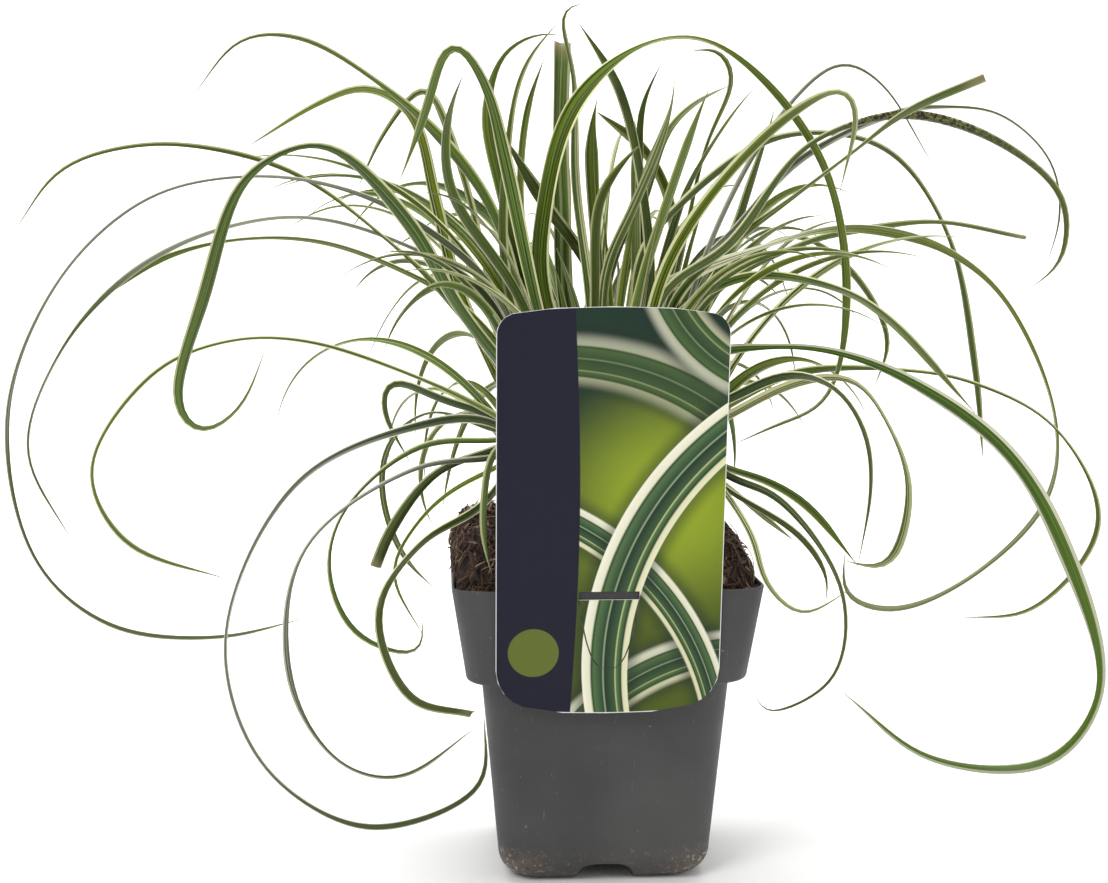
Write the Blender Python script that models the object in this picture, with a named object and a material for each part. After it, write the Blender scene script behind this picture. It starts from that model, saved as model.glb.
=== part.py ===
"""A variegated sedge in its square nursery pot, with the label that hangs on the rim."""
import math
import random

import bmesh
import bpy
import numpy as np
from mathutils.bvhtree import BVHTree

MM = 0.001
GAP = 0.3 * MM          # between pieces that touch

# Pot: a square tub with a deep collar
RIM_HALF = 65.8 * MM
POT_HEIGHT = 130 * MM
RIM_CORNER = 16 * MM
COLLAR_FOOT_HALF = 59.4 * MM
COLLAR_FOOT_Z = 90 * MM
BODY_TOP_HALF = 53.0 * MM
BODY_FOOT_HALF = 45.8 * MM
BODY_FOOT_Z = 13 * MM
FOOT_ROUND = 12 * MM    # radius of the edge under the body
FOOT_CORNER = 14 * MM
POT_WALL = 1.4 * MM
POT_FLOOR_Z = 7.5 * MM
CORNER_STEPS = 6
ROUND_STEPS = 4
CHANNEL_WIDTH = 19 * MM
CHANNEL_HEIGHT = 5.2 * MM
DRAIN_RADIUS = 4.5 * MM
DRAIN_FROM_AXIS = 27 * MM

# Soil: a peaty block that stands above the rim
SOIL_RISE = 23 * MM     # above the rim, at the crown
SOIL_RINGS = (0.97, 0.92, 0.84, 0.72, 0.58, 0.42, 0.24)
SOIL_LUMP = 1.5 * MM

# Label: a plastic plate that leans on the collar, with a hook over the rim
LABEL_WIDTH = 93 * MM
LABEL_LENGTH = 172 * MM
LABEL_THICK = 0.6 * MM
LABEL_LEAN = math.radians(9.4)
LABEL_X = -1.0 * MM
LABEL_FOOT_Z = 77.5 * MM
LABEL_TOP_CORNER = 9 * MM
LABEL_FOOT_CORNER = 17 * MM
LABEL_BOW = 2.4 * MM
SLIT_WIDTH = 25 * MM
SLIT_HEIGHT = 4.2 * MM
HOOK_WIDTH = 22 * MM
HOOK_DROP = 12 * MM

# Crown: shoots stand in a ring round one in the middle
CROWN_X = 3 * MM
RING_SHOOTS = 8
RING_RADIUS = 24 * MM
SHOOT_RADIUS = 8.0 * MM
SHOOT_SIDES = 10
SHOOT_FOOT_Z = POT_HEIGHT + 6 * MM
SHEATH_FOOT_Z = POT_HEIGHT + SOIL_RISE + 3 * MM
SHEATH_HEIGHT = 29 * MM     # how far the rolled leaf bases stand above the soil
SHEATH_SPLAY = 6 * MM       # how far a sheath of the ring leans out over that height
ROOT_Z = SHEATH_FOOT_Z - 2 * MM

# Leaf blades
BLADE_KEEL = 0.24       # depth of the keel for each unit of width
KEEL_LEAST = 0.8 * MM
TIP_WIDTH = 1.2 * MM
BLADE_GAP = 0.4 * MM    # kept between the blades of different shoots
ROLL_LEAST = 18         # degrees that a far-side blade turns its face aside
ROLL_SPREAD = 34
ROLL_FULL = 0.12        # share of its length in which a blade turns that far
SEEN_SHARE = 0.72       # of a blade's width that its turned face shows
WIDEST_BLADE = 9 * MM
GOLDEN_SHARE = 0.618    # of a turn, which spreads a row of blades evenly
ROOT_TURN = 2.4         # radians between the roots of one shoot's blades
ROOT_SPREAD = 6.0 * MM
TURN_PER_PIECE = 18.5   # degrees that one straight piece of a blade stands for
LEAST_PIECES = 6
MOST_PIECES = 15
PLANT_REACH = (238.5 * MM, 162 * MM, 378 * MM)  # furthest from the origin along each axis
LOWEST_LEAF_Z = 9 * MM
PARTING = 31 * MM       # from its root, a blade parts from those of its own shoot

# The front picture that the leaf routes are read in: units across and down, and the eye that sees it
PICTURE_FOCUS = 1852.0
PICTURE_CENTRE = (554.0, 441.5)
PICTURE_AXIS = 598.5    # where the pot's axis shows
EYE_DISTANCE = 815 * MM
EYE_HEIGHT = 266 * MM
EYE_TURN = math.radians(3.5)
EYE_DIP = math.radians(5.65)
RIGHT = np.array((math.cos(EYE_TURN), -math.sin(EYE_TURN), 0.0))
AWAY = np.array((math.sin(EYE_TURN), math.cos(EYE_TURN), 0.0))
UP = np.array((0.0, 0.0, 1.0))
EYE_SIDE = (PICTURE_CENTRE[0] - PICTURE_AXIS) / PICTURE_FOCUS * EYE_DISTANCE
EYE = RIGHT * EYE_SIDE - AWAY * EYE_DISTANCE + UP * EYE_HEIGHT

# Each leaf: mm of width that show, degrees that it leans away from the eye, mm that its tip is set
# back, and its route
LEAVES = {
    "hoop_left_1": (3.3, -24, 0, ((500, 300), (420, 225), (340, 188), (250, 176), (150, 197), (60, 278),
                                  (8, 410), (35, 560), (110, 625), (220, 637), (310, 617))),
    "hoop_left_2": (3.4, -16, 0, ((490, 300), (400, 243), (300, 217), (200, 236), (120, 282), (57, 357),
                                  (27, 451), (75, 546))),
    "hoop_left_3": (3.4, -17, 0, ((500, 370), (440, 290), (385, 238), (300, 176), (220, 150), (140, 145),
                                 (60, 170), (12, 235))),
    "hoop_left_4": (3.3, -27, 0, ((493, 423), (411, 428), (296, 484), (225, 637), (264, 766), (368, 827),
                                  (480, 785), (484, 716))),
    "hoop_left_5": (2.6, -18, 0, ((530, 450), (493, 458), (414, 469), (303, 551), (290, 680), (339, 762),
                                  (400, 777), (478, 726))),
    "hoop_left_6": (3.2, 4, 0, ((530, 440), (493, 414), (411, 375), (304, 341), (229, 341), (154, 373),
                                (91, 469), (125, 541), (236, 582))),
    "hoop_left_7": (3.2, -14, 0, ((530, 440), (493, 441), (421, 446), (343, 512), (329, 573), (357, 634),
                                  (420, 652), (421, 609))),
    "hoop_right_1": (6.6, -18, 0, ((650, 400), (700, 358), (770, 347), (830, 351), (902, 377), (1004, 449),
                                   (1060, 540), (1100, 690), (1050, 760), (930, 758), (840, 690))),
    "hoop_right_2": (6.6, 16, 0, ((640, 305), (680, 280), (760, 248), (830, 230), (890, 233), (950, 253),
                                  (1005, 300), (1056, 420), (1046, 500), (966, 580), (891, 609), (846, 593),
                                  (845, 550))),
    "hoop_right_3": (3.3, 8, 0, ((680, 440), (728, 406), (794, 373), (902, 370), (971, 382), (1056, 428),
                                 (1099, 524), (1032, 609), (955, 618))),
    "arch_left_1": (4.4, -8, 0, ((520, 300), (490, 205), (440, 137), (380, 84), (300, 38), (240, 40),
                                 (190, 100))),
    "arch_left_2": (3.4, 30, 0, ((520, 380), (460, 305), (400, 270), (320, 242), (235, 240), (160, 260),
                                 (115, 290))),
    "arch_left_3": (5.4, -20, 0, ((520, 390), (460, 310), (410, 225), (340, 152), (305, 145), (245, 180),
                                  (205, 295), (178, 405), (200, 432), (240, 408), (268, 342))),
    "arch_left_4": (5.0, 12, 0, ((480, 340), (455, 280), (435, 200), (410, 112), (365, 88), (320, 103),
                                 (245, 148))),
    "arch_left_5": (3.4, 34, 0, ((495, 300), (470, 200), (448, 130), (425, 88), (385, 132), (356, 192))),
    "arch_left_6": (5.2, -24, 0, ((535, 300), (505, 160), (485, 85), (457, 44), (448, 46), (424, 118),
                                  (397, 187))),
    "arch_right_1": (7.4, -10, 0, ((545, 300), (545, 210), (575, 105), (640, 46), (700, 38), (760, 77),
                                   (825, 170), (846, 300), (825, 400), (772, 427), (732, 445))),
    "arch_right_2": (4.2, 4, 0, ((660, 300), (730, 245), (800, 152), (845, 127), (915, 115), (1000, 143),
                                 (1062, 198), (1060, 262), (1025, 292))),
    "arch_right_3": (3.3, 20, 0, ((670, 300), (735, 230), (800, 160), (900, 112), (945, 107), (1000, 114),
                                  (1050, 160), (1060, 215), (1045, 270))),
    "arch_right_4": (4.2, 33, 0, ((640, 260), (680, 205), (770, 140), (850, 136), (900, 160), (950, 240),
                                  (975, 370), (983, 460))),
    "arch_right_5": (4.8, -22, 0, ((655, 300), (700, 210), (790, 115), (845, 89), (856, 110), (840, 192))),
    "arch_right_6": (2.4, 24, 0, ((690, 300), (770, 130), (840, 64), (880, 82), (937, 172))),
    "arch_right_7": (3.8, -30, 0, ((660, 340), (740, 278), (840, 290), (888, 319), (975, 413))),
    "arch_right_8": (3.3, 30, 0, ((680, 330), (760, 250), (800, 237), (850, 270), (888, 340), (873, 390))),
    "cut_right_1": (4.0, -14, 0, ((670, 310), (730, 245), (790, 200), (860, 147), (905, 113), (985, 78))),
    "cut_right_2": (3.2, 22, 0, ((700, 310), (800, 245), (880, 227), (940, 222), (1025, 238))),
    "droop_right_1": (3.4, -34, 0, ((690, 420), (728, 400), (790, 375), (835, 388), (865, 433), (871, 486),
                                    (857, 571))),
    "droop_right_2": (4.2, -6, 0, ((680, 450), (740, 410), (800, 382), (853, 380), (886, 420), (909, 490),
                                   (886, 566), (846, 561))),
    "low_right_1": (3.2, -20, 0, ((680, 450), (727, 469), (766, 481), (806, 505), (858, 566))),
    "low_right_2": (3.2, -40, 0, ((675, 440), (727, 476), (780, 500), (843, 593), (833, 678), (765, 712),
                                  (752, 690))),
    "low_right_3": (2.6, 14, 0, ((670, 450), (727, 490), (801, 537), (828, 580), (825, 606))),
    "low_right_4": (2.6, 34, 0, ((660, 440), (700, 465), (758, 512), (793, 540))),
    "low_right_5": (2.6, -52, 0, ((660, 440), (710, 475), (754, 540), (764, 580), (801, 614), (854, 587))),
    "low_left_1": (3.2, 24, 0, ((530, 450), (493, 417), (446, 401), (389, 382), (384, 410), (414, 469))),
    "low_left_2": (2.5, 34, 0, ((530, 440), (493, 430), (430, 412), (391, 441), (382, 491), (403, 555),
                                (437, 591))),
    "low_left_3": (2.5, 10, 0, ((530, 450), (500, 466), (450, 492), (416, 525), (393, 573), (427, 642))),
    "cut_left_1": (4.8, -4, 0, ((530, 440), (493, 451), (436, 473), (389, 534), (376, 567))),
    "cut_left_2": (3.6, -38, 0, ((530, 450), (482, 506), (421, 544), (378, 612), (411, 698), (473, 714))),
    "low_left_4": (3.3, -52, 0, ((530, 440), (495, 450), (484, 500), (484, 540), (492, 575))),
    "cut_top": (7.5, 0, 26, ((565, 300), (562, 210), (560, 140), (562, 42))),
    "upright_1": (4.2, 20, -20, ((530, 300), (500, 190), (486, 110), (505, 52), (545, 33), (568, 37))),
    "upright_2": (4.4, 0, 10, ((590, 300), (575, 180), (574, 80), (563, 8), (590, 3))),
    "upright_3": (4.4, -30, 0, ((650, 300), (640, 170), (620, 90), (605, 62), (578, 22))),
    "upright_4": (2.8, 30, 20, ((670, 300), (705, 150), (733, 75), (718, 50), (685, 52))),
    "upright_5": (4.2, 20, -30, ((640, 300), (640, 170), (643, 105), (663, 60))),
    "upright_6": (4.2, -20, -20, ((605, 280), (635, 205), (660, 145), (673, 100), (675, 72))),
    "upright_7": (4.6, 30, 30, ((620, 300), (650, 180), (670, 128), (700, 100), (735, 83))),
    "upright_8": (4.2, -30, -10, ((640, 290), (660, 225), (700, 110), (710, 87))),
    "upright_9": (4.4, 10, 30, ((655, 300), (685, 195), (715, 140), (745, 98), (760, 83))),
    "upright_10": (4.2, 40, 0, ((680, 310), (730, 240), (750, 185), (770, 125), (776, 103))),
    "upright_11": (4.4, -40, 0, ((520, 300), (450, 190), (447, 120), (465, 70))),
    "upright_12": (3.4, 0, 40, ((535, 300), (520, 200), (527, 110), (545, 56))),
    "upright_13": (4.4, -20, -30, ((510, 300), (508, 140), (525, 65), (560, 20))),
    "upright_14": (5.6, -20, -20, ((600, 295), (575, 245), (545, 205), (505, 138))),
    "upright_15": (5.2, 0, -30, ((600, 300), (597, 250), (592, 130), (598, 95))),
    "upright_16": (4.6, 10, -10, ((605, 300), (625, 230), (650, 170), (672, 100))),
    "upright_17": (4.0, 30, 20, ((670, 300), (672, 210), (645, 150), (597, 112))),
    "upright_18": (4.0, -30, -30, ((595, 300), (600, 200), (625, 160), (640, 145))),
    "upright_19": (4.6, 10, 50, ((637, 300), (635, 200), (635, 120))),
}

# Leaves of the far side and the thick of the crown, placed by rule: how many, then ranges of
# compass angle, rise at the root, length in mm, and degrees turned from root to tip
FILLERS = (
    (22, (48, 132), (72, 86), (190, 290), (80, 165)),
    (14, (35, 150), (48, 66), (150, 240), (110, 190)),
    (8, (120, 160), (70, 84), (170, 260), (60, 130)),
    (8, (20, 60), (70, 84), (170, 260), (60, 130)),
    (5, (-150, -125), (74, 84), (150, 200), (80, 130)),
    (5, (-55, -30), (74, 84), (150, 200), (80, 130)),
    (8, (0, 360), (83, 89), (110, 170), (10, 45)),
)
FILLER_SEED = 41
FILLER_WIDTH = (4.0, 6.5)
FILLER_DRIFT = 0.3      # sideways bend at the tip, for each unit of length
FILLER_BEND = 1.7       # how much later than evenly a filler bends over
FILLER_STEPS = 40
FILLER_ATTEMPTS = 18
LOOSE_AFTER = 10        # attempts after which a filler may cross its own shoot's blades
FILLER_REACH = (200 * MM, 160 * MM, 352 * MM)

# How a leaf that is blocked moves aside: degrees of lean and mm of set-back, nearest first
LEAN_TRIES = (0, 3, -3, 6, -6, 10, -10, 15, -15, 21, -21, 28, -28)
BACK_TRIES = (0, 9, -9, 18, -18)
MOST_LEAN = 62

# Before they are joined, a shoot's blades are nudged by less than can be seen, so that no two of their
# edges meet exactly: how far, and the seed for each shoot
NUDGE = 0.06 * MM
NUDGE_SEEDS = (0, 0, 1, 0, 67, 10, 0, 0, 0)


def clear_scene():
    """Start from an empty scene."""
    for old in list(bpy.data.objects):
        bpy.data.objects.remove(old, do_unlink=True)


def finish(name, colour, roughness):
    """A plain material of one sRGB colour."""
    material = bpy.data.materials.new(name)
    material.use_nodes = True
    shader = material.node_tree.nodes["Principled BSDF"]
    linear = [(int(colour[i:i + 2], 16) / 255) ** 2.2 for i in (0, 2, 4)]
    shader.inputs["Base Color"].default_value = (*linear, 1.0)
    shader.inputs["Roughness"].default_value = roughness
    shader.inputs["Metallic"].default_value = 0.0
    material.diffuse_color = (*linear, 1.0)
    return material


def solid(name, points, faces, material=None):
    """An object from points and faces, with its faces turned outwards."""
    mesh = bpy.data.meshes.new(name)
    mesh.from_pydata([tuple(point) for point in points], [], faces)
    shape = bmesh.new()
    shape.from_mesh(mesh)
    bmesh.ops.recalc_face_normals(shape, faces=shape.faces)
    shape.to_mesh(mesh)
    shape.free()
    if material:
        mesh.materials.append(material)
    thing = bpy.data.objects.new(name, mesh)
    bpy.context.scene.collection.objects.link(thing)
    return thing


def skin(rings, first_face=0):
    """Faces that join rings of equal length, with both ends closed."""
    count = len(rings[0])
    faces = [tuple(first_face + i for i in reversed(range(count)))]
    for level in range(len(rings) - 1):
        low = first_face + level * count
        for i in range(count):
            following = (i + 1) % count
            faces.append((low + i, low + following, low + count + following, low + count + i))
    last = first_face + (len(rings) - 1) * count
    faces.append(tuple(last + i for i in range(count)))
    return faces


def cutter(name, rings_list):
    """A hidden tool made of one or more closed skins."""
    points = []
    faces = []
    for rings in rings_list:
        faces += skin(rings, len(points))
        points += [point for ring in rings for point in ring]
    tool = solid(name, points, faces)
    tool.hide_render = True
    tool.display_type = "WIRE"
    return tool


def cut(thing, tool):
    modifier = thing.modifiers.new(tool.name, "BOOLEAN")
    modifier.operation = "DIFFERENCE"
    modifier.object = tool


def square_ring(half, corner, z):
    """Points round a rounded square, anticlockwise from the middle of its right side."""
    points = []
    for quarter, (sx, sy) in enumerate(((1, 1), (-1, 1), (-1, -1), (1, -1))):
        for step in range(CORNER_STEPS + 1):
            angle = math.radians(90 * (quarter + step / CORNER_STEPS))
            x = sx * (half - corner) + corner * math.cos(angle)
            y = sy * (half - corner) + corner * math.sin(angle)
            points.append((x, y, z))
    return points


def round_ring(x, y, radius, z, sides):
    angles = [2 * math.pi * i / sides for i in range(sides)]
    return [(x + radius * math.cos(a), y + radius * math.sin(a), z) for a in angles]


def box_rings(x0, x1, y0, y1, z0, z1):
    return [[(x0, y0, z), (x1, y0, z), (x1, y1, z), (x0, y1, z)] for z in (z0, z1)]


def wall_half(z):
    """Half the pot's outer width at a height above its rounded foot."""
    if z >= COLLAR_FOOT_Z:
        share = (z - COLLAR_FOOT_Z) / (POT_HEIGHT - COLLAR_FOOT_Z)
        return COLLAR_FOOT_HALF + share * (RIM_HALF - COLLAR_FOOT_HALF)
    share = (z - BODY_FOOT_Z) / (COLLAR_FOOT_Z - BODY_FOOT_Z)
    return BODY_FOOT_HALF + share * (BODY_TOP_HALF - BODY_FOOT_HALF)


def make_pot():
    """The tub: rounded foot, tapered body, step out to the collar, and a thin open wall."""
    lip = 0.6 * MM
    step = 3 * MM       # height over which the body turns out into the collar
    outer = []
    for i in range(ROUND_STEPS + 1):
        angle = math.radians(90 * i / ROUND_STEPS)
        drop = FOOT_ROUND * (1 - math.sin(angle))
        rise = BODY_FOOT_Z * (1 - math.cos(angle))
        outer.append((BODY_FOOT_HALF - drop, FOOT_CORNER - 0.3 * drop, rise))
    outer += [(BODY_TOP_HALF - 0.3 * MM, 14.5 * MM, COLLAR_FOOT_Z - step),
              (BODY_TOP_HALF + 1.2 * MM, 14.5 * MM, COLLAR_FOOT_Z - 1.6 * MM),
              (COLLAR_FOOT_HALF - 2.4 * MM, 15 * MM, COLLAR_FOOT_Z - 1.2 * MM),
              (COLLAR_FOOT_HALF - 0.6 * MM, 15 * MM, COLLAR_FOOT_Z + 0.6 * MM),
              (COLLAR_FOOT_HALF + 0.5 * MM, 15 * MM, COLLAR_FOOT_Z + 3.4 * MM),
              (RIM_HALF, RIM_CORNER, POT_HEIGHT - lip),
              (RIM_HALF - 0.4 * MM, RIM_CORNER - 0.4 * MM, POT_HEIGHT)]
    inner = [(RIM_HALF - POT_WALL, RIM_CORNER - POT_WALL, POT_HEIGHT),
             (COLLAR_FOOT_HALF - POT_WALL, 13.6 * MM, COLLAR_FOOT_Z + 1.2 * MM),
             (BODY_TOP_HALF - POT_WALL, 13 * MM, COLLAR_FOOT_Z),
             (BODY_FOOT_HALF - POT_WALL, 12.6 * MM, BODY_FOOT_Z + 4 * MM),
             (BODY_FOOT_HALF - 4 * MM, 11 * MM, POT_FLOOR_Z + 2 * MM),
             (BODY_FOOT_HALF - 7 * MM, 10 * MM, POT_FLOOR_Z)]
    rings = [square_ring(*ring) for ring in outer + inner]
    points = [point for ring in rings for point in ring]
    pot = solid("pot", points, skin(rings), finish("pot_plastic", "4a4a4b", 0.62))
    reach = RIM_HALF
    half = CHANNEL_WIDTH / 2
    arch = [(-half, -0.3)]
    for i in range(8):
        angle = math.radians(180 - 180 * i / 7)
        arch.append((half * math.cos(angle), 0.4 + 0.6 * math.sin(angle)))
    arch.append((half, -0.3))
    along_y = [[(x, y, z * CHANNEL_HEIGHT) for x, z in arch] for y in (-reach, reach)]
    along_x = [[(x, y, z * CHANNEL_HEIGHT * 0.93) for y, z in arch] for x in (-reach, reach)]
    cut(pot, cutter("channel_y_tool", [along_y]))
    cut(pot, cutter("channel_x_tool", [along_x]))
    drains = []
    for x, y in ((1, 0), (0, 1), (-1, 0), (0, -1)):
        drains.append([round_ring(x * DRAIN_FROM_AXIS, y * DRAIN_FROM_AXIS, DRAIN_RADIUS, z, 12)
                       for z in (2 * MM, POT_FLOOR_Z + 2 * MM)])
    cut(pot, cutter("drain_tool", drains))
    pot.data.shade_smooth()
    pot.data.set_sharp_from_angle(angle=math.radians(35))
    return pot


def soil_height(x, y):
    """Height of the soil's lumpy top: steep at the left, sloping at the right."""
    half = RIM_HALF - POT_WALL
    steepness = 9 if x < 0 else 5
    edge = ((abs(x) / half) ** 5 + (abs(y) / half) ** 5) ** 0.2
    dome = 1 - min(edge, 1.0) ** steepness
    lumps = math.sin(x * 330 + 1.3) * math.sin(y * 290 + 0.4) + 0.7 * math.sin(x * 520 + y * 410 + 2.0)
    return POT_HEIGHT - 2 * MM + SOIL_RISE * dome + SOIL_LUMP * lumps * min(1.0, 0.3 + dome)


def shoot_places():
    """Where each shoot stands: the middle one first, then the ring."""
    places = [(CROWN_X, 0.0)]
    for i in range(RING_SHOOTS):
        angle = 2 * math.pi * (i + 0.5) / RING_SHOOTS
        places.append((CROWN_X + RING_RADIUS * math.cos(angle), RING_RADIUS * math.sin(angle)))
    return places


def make_soil():
    inset = POT_WALL + GAP
    levels = ((BODY_FOOT_HALF - 7.3 * MM, 9.6 * MM, POT_FLOOR_Z + GAP),
              (BODY_FOOT_HALF - 4.4 * MM, 10.6 * MM, POT_FLOOR_Z + 2.4 * MM),
              (BODY_FOOT_HALF - inset - 0.1 * MM, 12.2 * MM, BODY_FOOT_Z + 4.2 * MM),
              (BODY_TOP_HALF - inset - 0.1 * MM, 12.6 * MM, COLLAR_FOOT_Z + 0.4 * MM),
              (COLLAR_FOOT_HALF - inset - 0.1 * MM, 13.2 * MM, COLLAR_FOOT_Z + 1.7 * MM),
              (RIM_HALF - inset - 0.6 * MM, 14 * MM, POT_HEIGHT - 4 * MM))
    rings = [square_ring(*level) for level in levels]
    rim = RIM_HALF - inset - 0.6 * MM
    for scale in SOIL_RINGS:
        ring = square_ring(rim * scale, 14 * MM * scale, 0)
        rings.append([(x, y, soil_height(x, y)) for x, y, _ in ring])
    points = [point for ring in rings for point in ring]
    soil = solid("soil", points, skin(rings), finish("peat_and_bark", "3b2a20", 0.95))
    hole_ends = (SHOOT_FOOT_Z - GAP, SHEATH_FOOT_Z + 20 * MM)
    hole = SHOOT_RADIUS + GAP
    holes = [[round_ring(x, y, hole, z, SHOOT_SIDES) for z in hole_ends] for x, y in shoot_places()]
    slot_half = HOOK_WIDTH / 2 + GAP
    front = wall_half(POT_HEIGHT - HOOK_DROP) - POT_WALL - 1.9 * MM
    holes.append(box_rings(LABEL_X - slot_half, LABEL_X + slot_half, -RIM_HALF, -front,
                           POT_HEIGHT - HOOK_DROP - 1.5 * MM, POT_HEIGHT + 40 * MM))
    cut(soil, cutter("soil_tool", holes))
    return soil


def label_point(across, along, out):
    """A place on the label: mm across it, along it from its foot, and out from its back."""
    side = math.sin(LABEL_LEAN)
    rise = math.cos(LABEL_LEAN)
    back = -(wall_half(COLLAR_FOOT_Z + 4 * MM) + GAP)
    along_at_rest = (COLLAR_FOOT_Z + 4 * MM - LABEL_FOOT_Z) / rise
    y = back - side * (along - along_at_rest) - rise * out
    return (LABEL_X + across, y, LABEL_FOOT_Z + rise * along - side * out)


def label_outline():
    """The plate's outline, with rounded corners and bowed ends."""
    half = LABEL_WIDTH / 2
    outline = []
    corners = ((1, 0, LABEL_FOOT_CORNER, -90), (1, 1, LABEL_TOP_CORNER, 0),
               (-1, 1, LABEL_TOP_CORNER, 90), (-1, 0, LABEL_FOOT_CORNER, 180))
    for side, end, radius, start in corners:
        cx = side * (half - radius)
        cy = LABEL_LENGTH - radius - LABEL_BOW if end else radius + LABEL_BOW
        for step in range(6):
            angle = math.radians(start + 90 * step / 5)
            outline.append((cx + radius * math.cos(angle), cy + radius * math.sin(angle)))
        if side == 1 and end:
            outline += [(half * share, LABEL_LENGTH - LABEL_BOW * share * share) for share in (0.5, 0.0, -0.5)]
    outline += [(half * share, LABEL_BOW * share * share) for share in (-0.4, 0.0, 0.4)]
    return outline


def make_label():
    """The plate, its slit, and the hook that goes over the rim and down inside it."""
    outline = label_outline()
    rings = [[label_point(x, y, out) for x, y in outline] for out in (0.0, LABEL_THICK)]
    points = [point for ring in rings for point in ring]
    label = solid("label", points, skin(rings), finish("label_plastic", "2c3040", 0.35))
    slit_top = (POT_HEIGHT + GAP + LABEL_THICK - LABEL_FOOT_Z) / math.cos(LABEL_LEAN)
    slit_half = SLIT_WIDTH / 2
    low = slit_top - SLIT_HEIGHT
    high = slit_top - LABEL_THICK
    opening = ((-slit_half, low), (slit_half, low), (slit_half, high), (-slit_half, high))
    slit = [[label_point(x, y, out) for x, y in opening] for out in (-2 * MM, 2 * MM)]
    cut(label, cutter("slit_tool", [slit]))
    top = POT_HEIGHT + GAP
    inside = -(RIM_HALF - POT_WALL - GAP)
    front = label_point(0, slit_top, LABEL_THICK * 0.5)[1]
    foot = POT_HEIGHT - HOOK_DROP
    foot_y = -(wall_half(foot) - POT_WALL - GAP)
    profile = ((front, top), (inside, top), (foot_y, foot), (foot_y + LABEL_THICK, foot),
               (inside + LABEL_THICK, top + LABEL_THICK), (front, top + LABEL_THICK))
    hook_half = HOOK_WIDTH / 2
    rings = [[(LABEL_X + x, y, z) for y, z in profile] for x in (-hook_half, hook_half)]
    hook = cutter("hook_tool", [rings])
    modifier = label.modifiers.new("hook", "BOOLEAN")
    modifier.operation = "UNION"
    modifier.object = hook
    return label


def project(point):
    """Where a point shows in the front picture."""
    ray = np.asarray(point) - EYE
    across = ray @ RIGHT
    away = ray @ AWAY
    depth = away * math.cos(EYE_DIP) - ray[2] * math.sin(EYE_DIP)
    rise = away * math.sin(EYE_DIP) + ray[2] * math.cos(EYE_DIP)
    across_px = PICTURE_CENTRE[0] + PICTURE_FOCUS * across / depth
    return (across_px, PICTURE_CENTRE[1] - PICTURE_FOCUS * rise / depth)


def sight_line(px, py):
    """The direction in which a place in the picture lies, for one unit away from the eye."""
    across = (px - PICTURE_CENTRE[0]) / PICTURE_FOCUS
    rise = (PICTURE_CENTRE[1] - py) / PICTURE_FOCUS
    away = math.cos(EYE_DIP) + rise * math.sin(EYE_DIP)
    lift = rise * math.cos(EYE_DIP) - math.sin(EYE_DIP)
    return np.array((across / away, 1.0, lift / away))


def smooth_route(points, steps=10):
    """A curve through the points that doesn't overshoot where they lie close together."""
    points = [np.asarray(point, float) for point in points]
    points = [2 * points[0] - points[1]] + points + [2 * points[-1] - points[-2]]
    route = []
    for p0, p1, p2, p3 in zip(points, points[1:], points[2:], points[3:]):
        t1 = np.linalg.norm(p1 - p0) ** 0.5
        t2 = t1 + np.linalg.norm(p2 - p1) ** 0.5
        t3 = t2 + np.linalg.norm(p3 - p2) ** 0.5
        for step in range(steps):
            t = t1 + (t2 - t1) * step / steps
            a1 = p0 + (p1 - p0) * t / t1
            a2 = p1 + (p2 - p1) * (t - t1) / (t2 - t1)
            a3 = p2 + (p3 - p2) * (t - t2) / (t3 - t2)
            b1 = a1 + (a2 - a1) * t / t2
            b2 = a2 + (a3 - a2) * (t - t1) / (t3 - t1)
            route.append(b1 + (b2 - b1) * (t - t1) / (t2 - t1))
    route.append(points[-2])
    return np.array(route)


def lift_route(root, lean, back, route):
    """The picture's route as a curve in space that starts at its root."""
    flat = smooth_route([project(root)] + list(route))
    lengths = np.concatenate(((0,), np.cumsum(np.linalg.norm(np.diff(flat, axis=0), axis=1))))
    shares = lengths / lengths[-1]
    root_across = (root - EYE) @ RIGHT
    root_away = (root - EYE) @ AWAY
    side = 1.0 if route[len(route) // 2][0] > PICTURE_AXIS else -1.0
    slope = side * math.tan(math.radians(lean))
    curve = []
    for (px, py), share in zip(flat, shares):
        across, _, lift = sight_line(px, py)
        away = (root_away + back * MM * share ** 2 - slope * root_across) / (1 - slope * across)
        curve.append(EYE + RIGHT * across * away + AWAY * away + UP * lift * away)
    return np.array(curve)


def arched_route(root, compass, rise, length, turn, drift):
    """A curve that leaves its root at an angle and bends over more and more towards its tip."""
    outward = np.array((math.cos(compass), math.sin(compass), 0.0))
    sideways = np.array((-math.sin(compass), math.cos(compass), 0.0))
    curve = [np.array(root)]
    for i in range(FILLER_STEPS):
        share = (i + 0.5) / FILLER_STEPS
        slope = rise - turn * share ** FILLER_BEND
        move = outward * math.cos(slope) + UP * math.sin(slope) + sideways * drift * share
        curve.append(curve[-1] + move / np.linalg.norm(move) * length / FILLER_STEPS)
    return np.array(curve)


def turned(curve):
    """Degrees through which a curve turns in all."""
    moves = np.diff(curve, axis=0)
    moves /= np.linalg.norm(moves, axis=1)[:, None]
    dots = np.clip((moves[1:] * moves[:-1]).sum(axis=1), -1, 1)
    return math.degrees(np.arccos(dots).sum())


def even_points(curve, pieces, first=0.0):
    """Points evenly along a curve, after a first one if that has a length of its own, and their shares."""
    lengths = np.concatenate(((0,), np.cumsum(np.linalg.norm(np.diff(curve, axis=0), axis=1))))
    wanted = np.linspace(0, lengths[-1], pieces + 1)
    if first:
        wanted = np.concatenate(((0,), np.linspace(first, lengths[-1], pieces)))
    points = np.stack([np.interp(wanted, lengths, curve[:, i]) for i in range(3)], axis=1)
    return points, wanted / lengths[-1]


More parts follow.
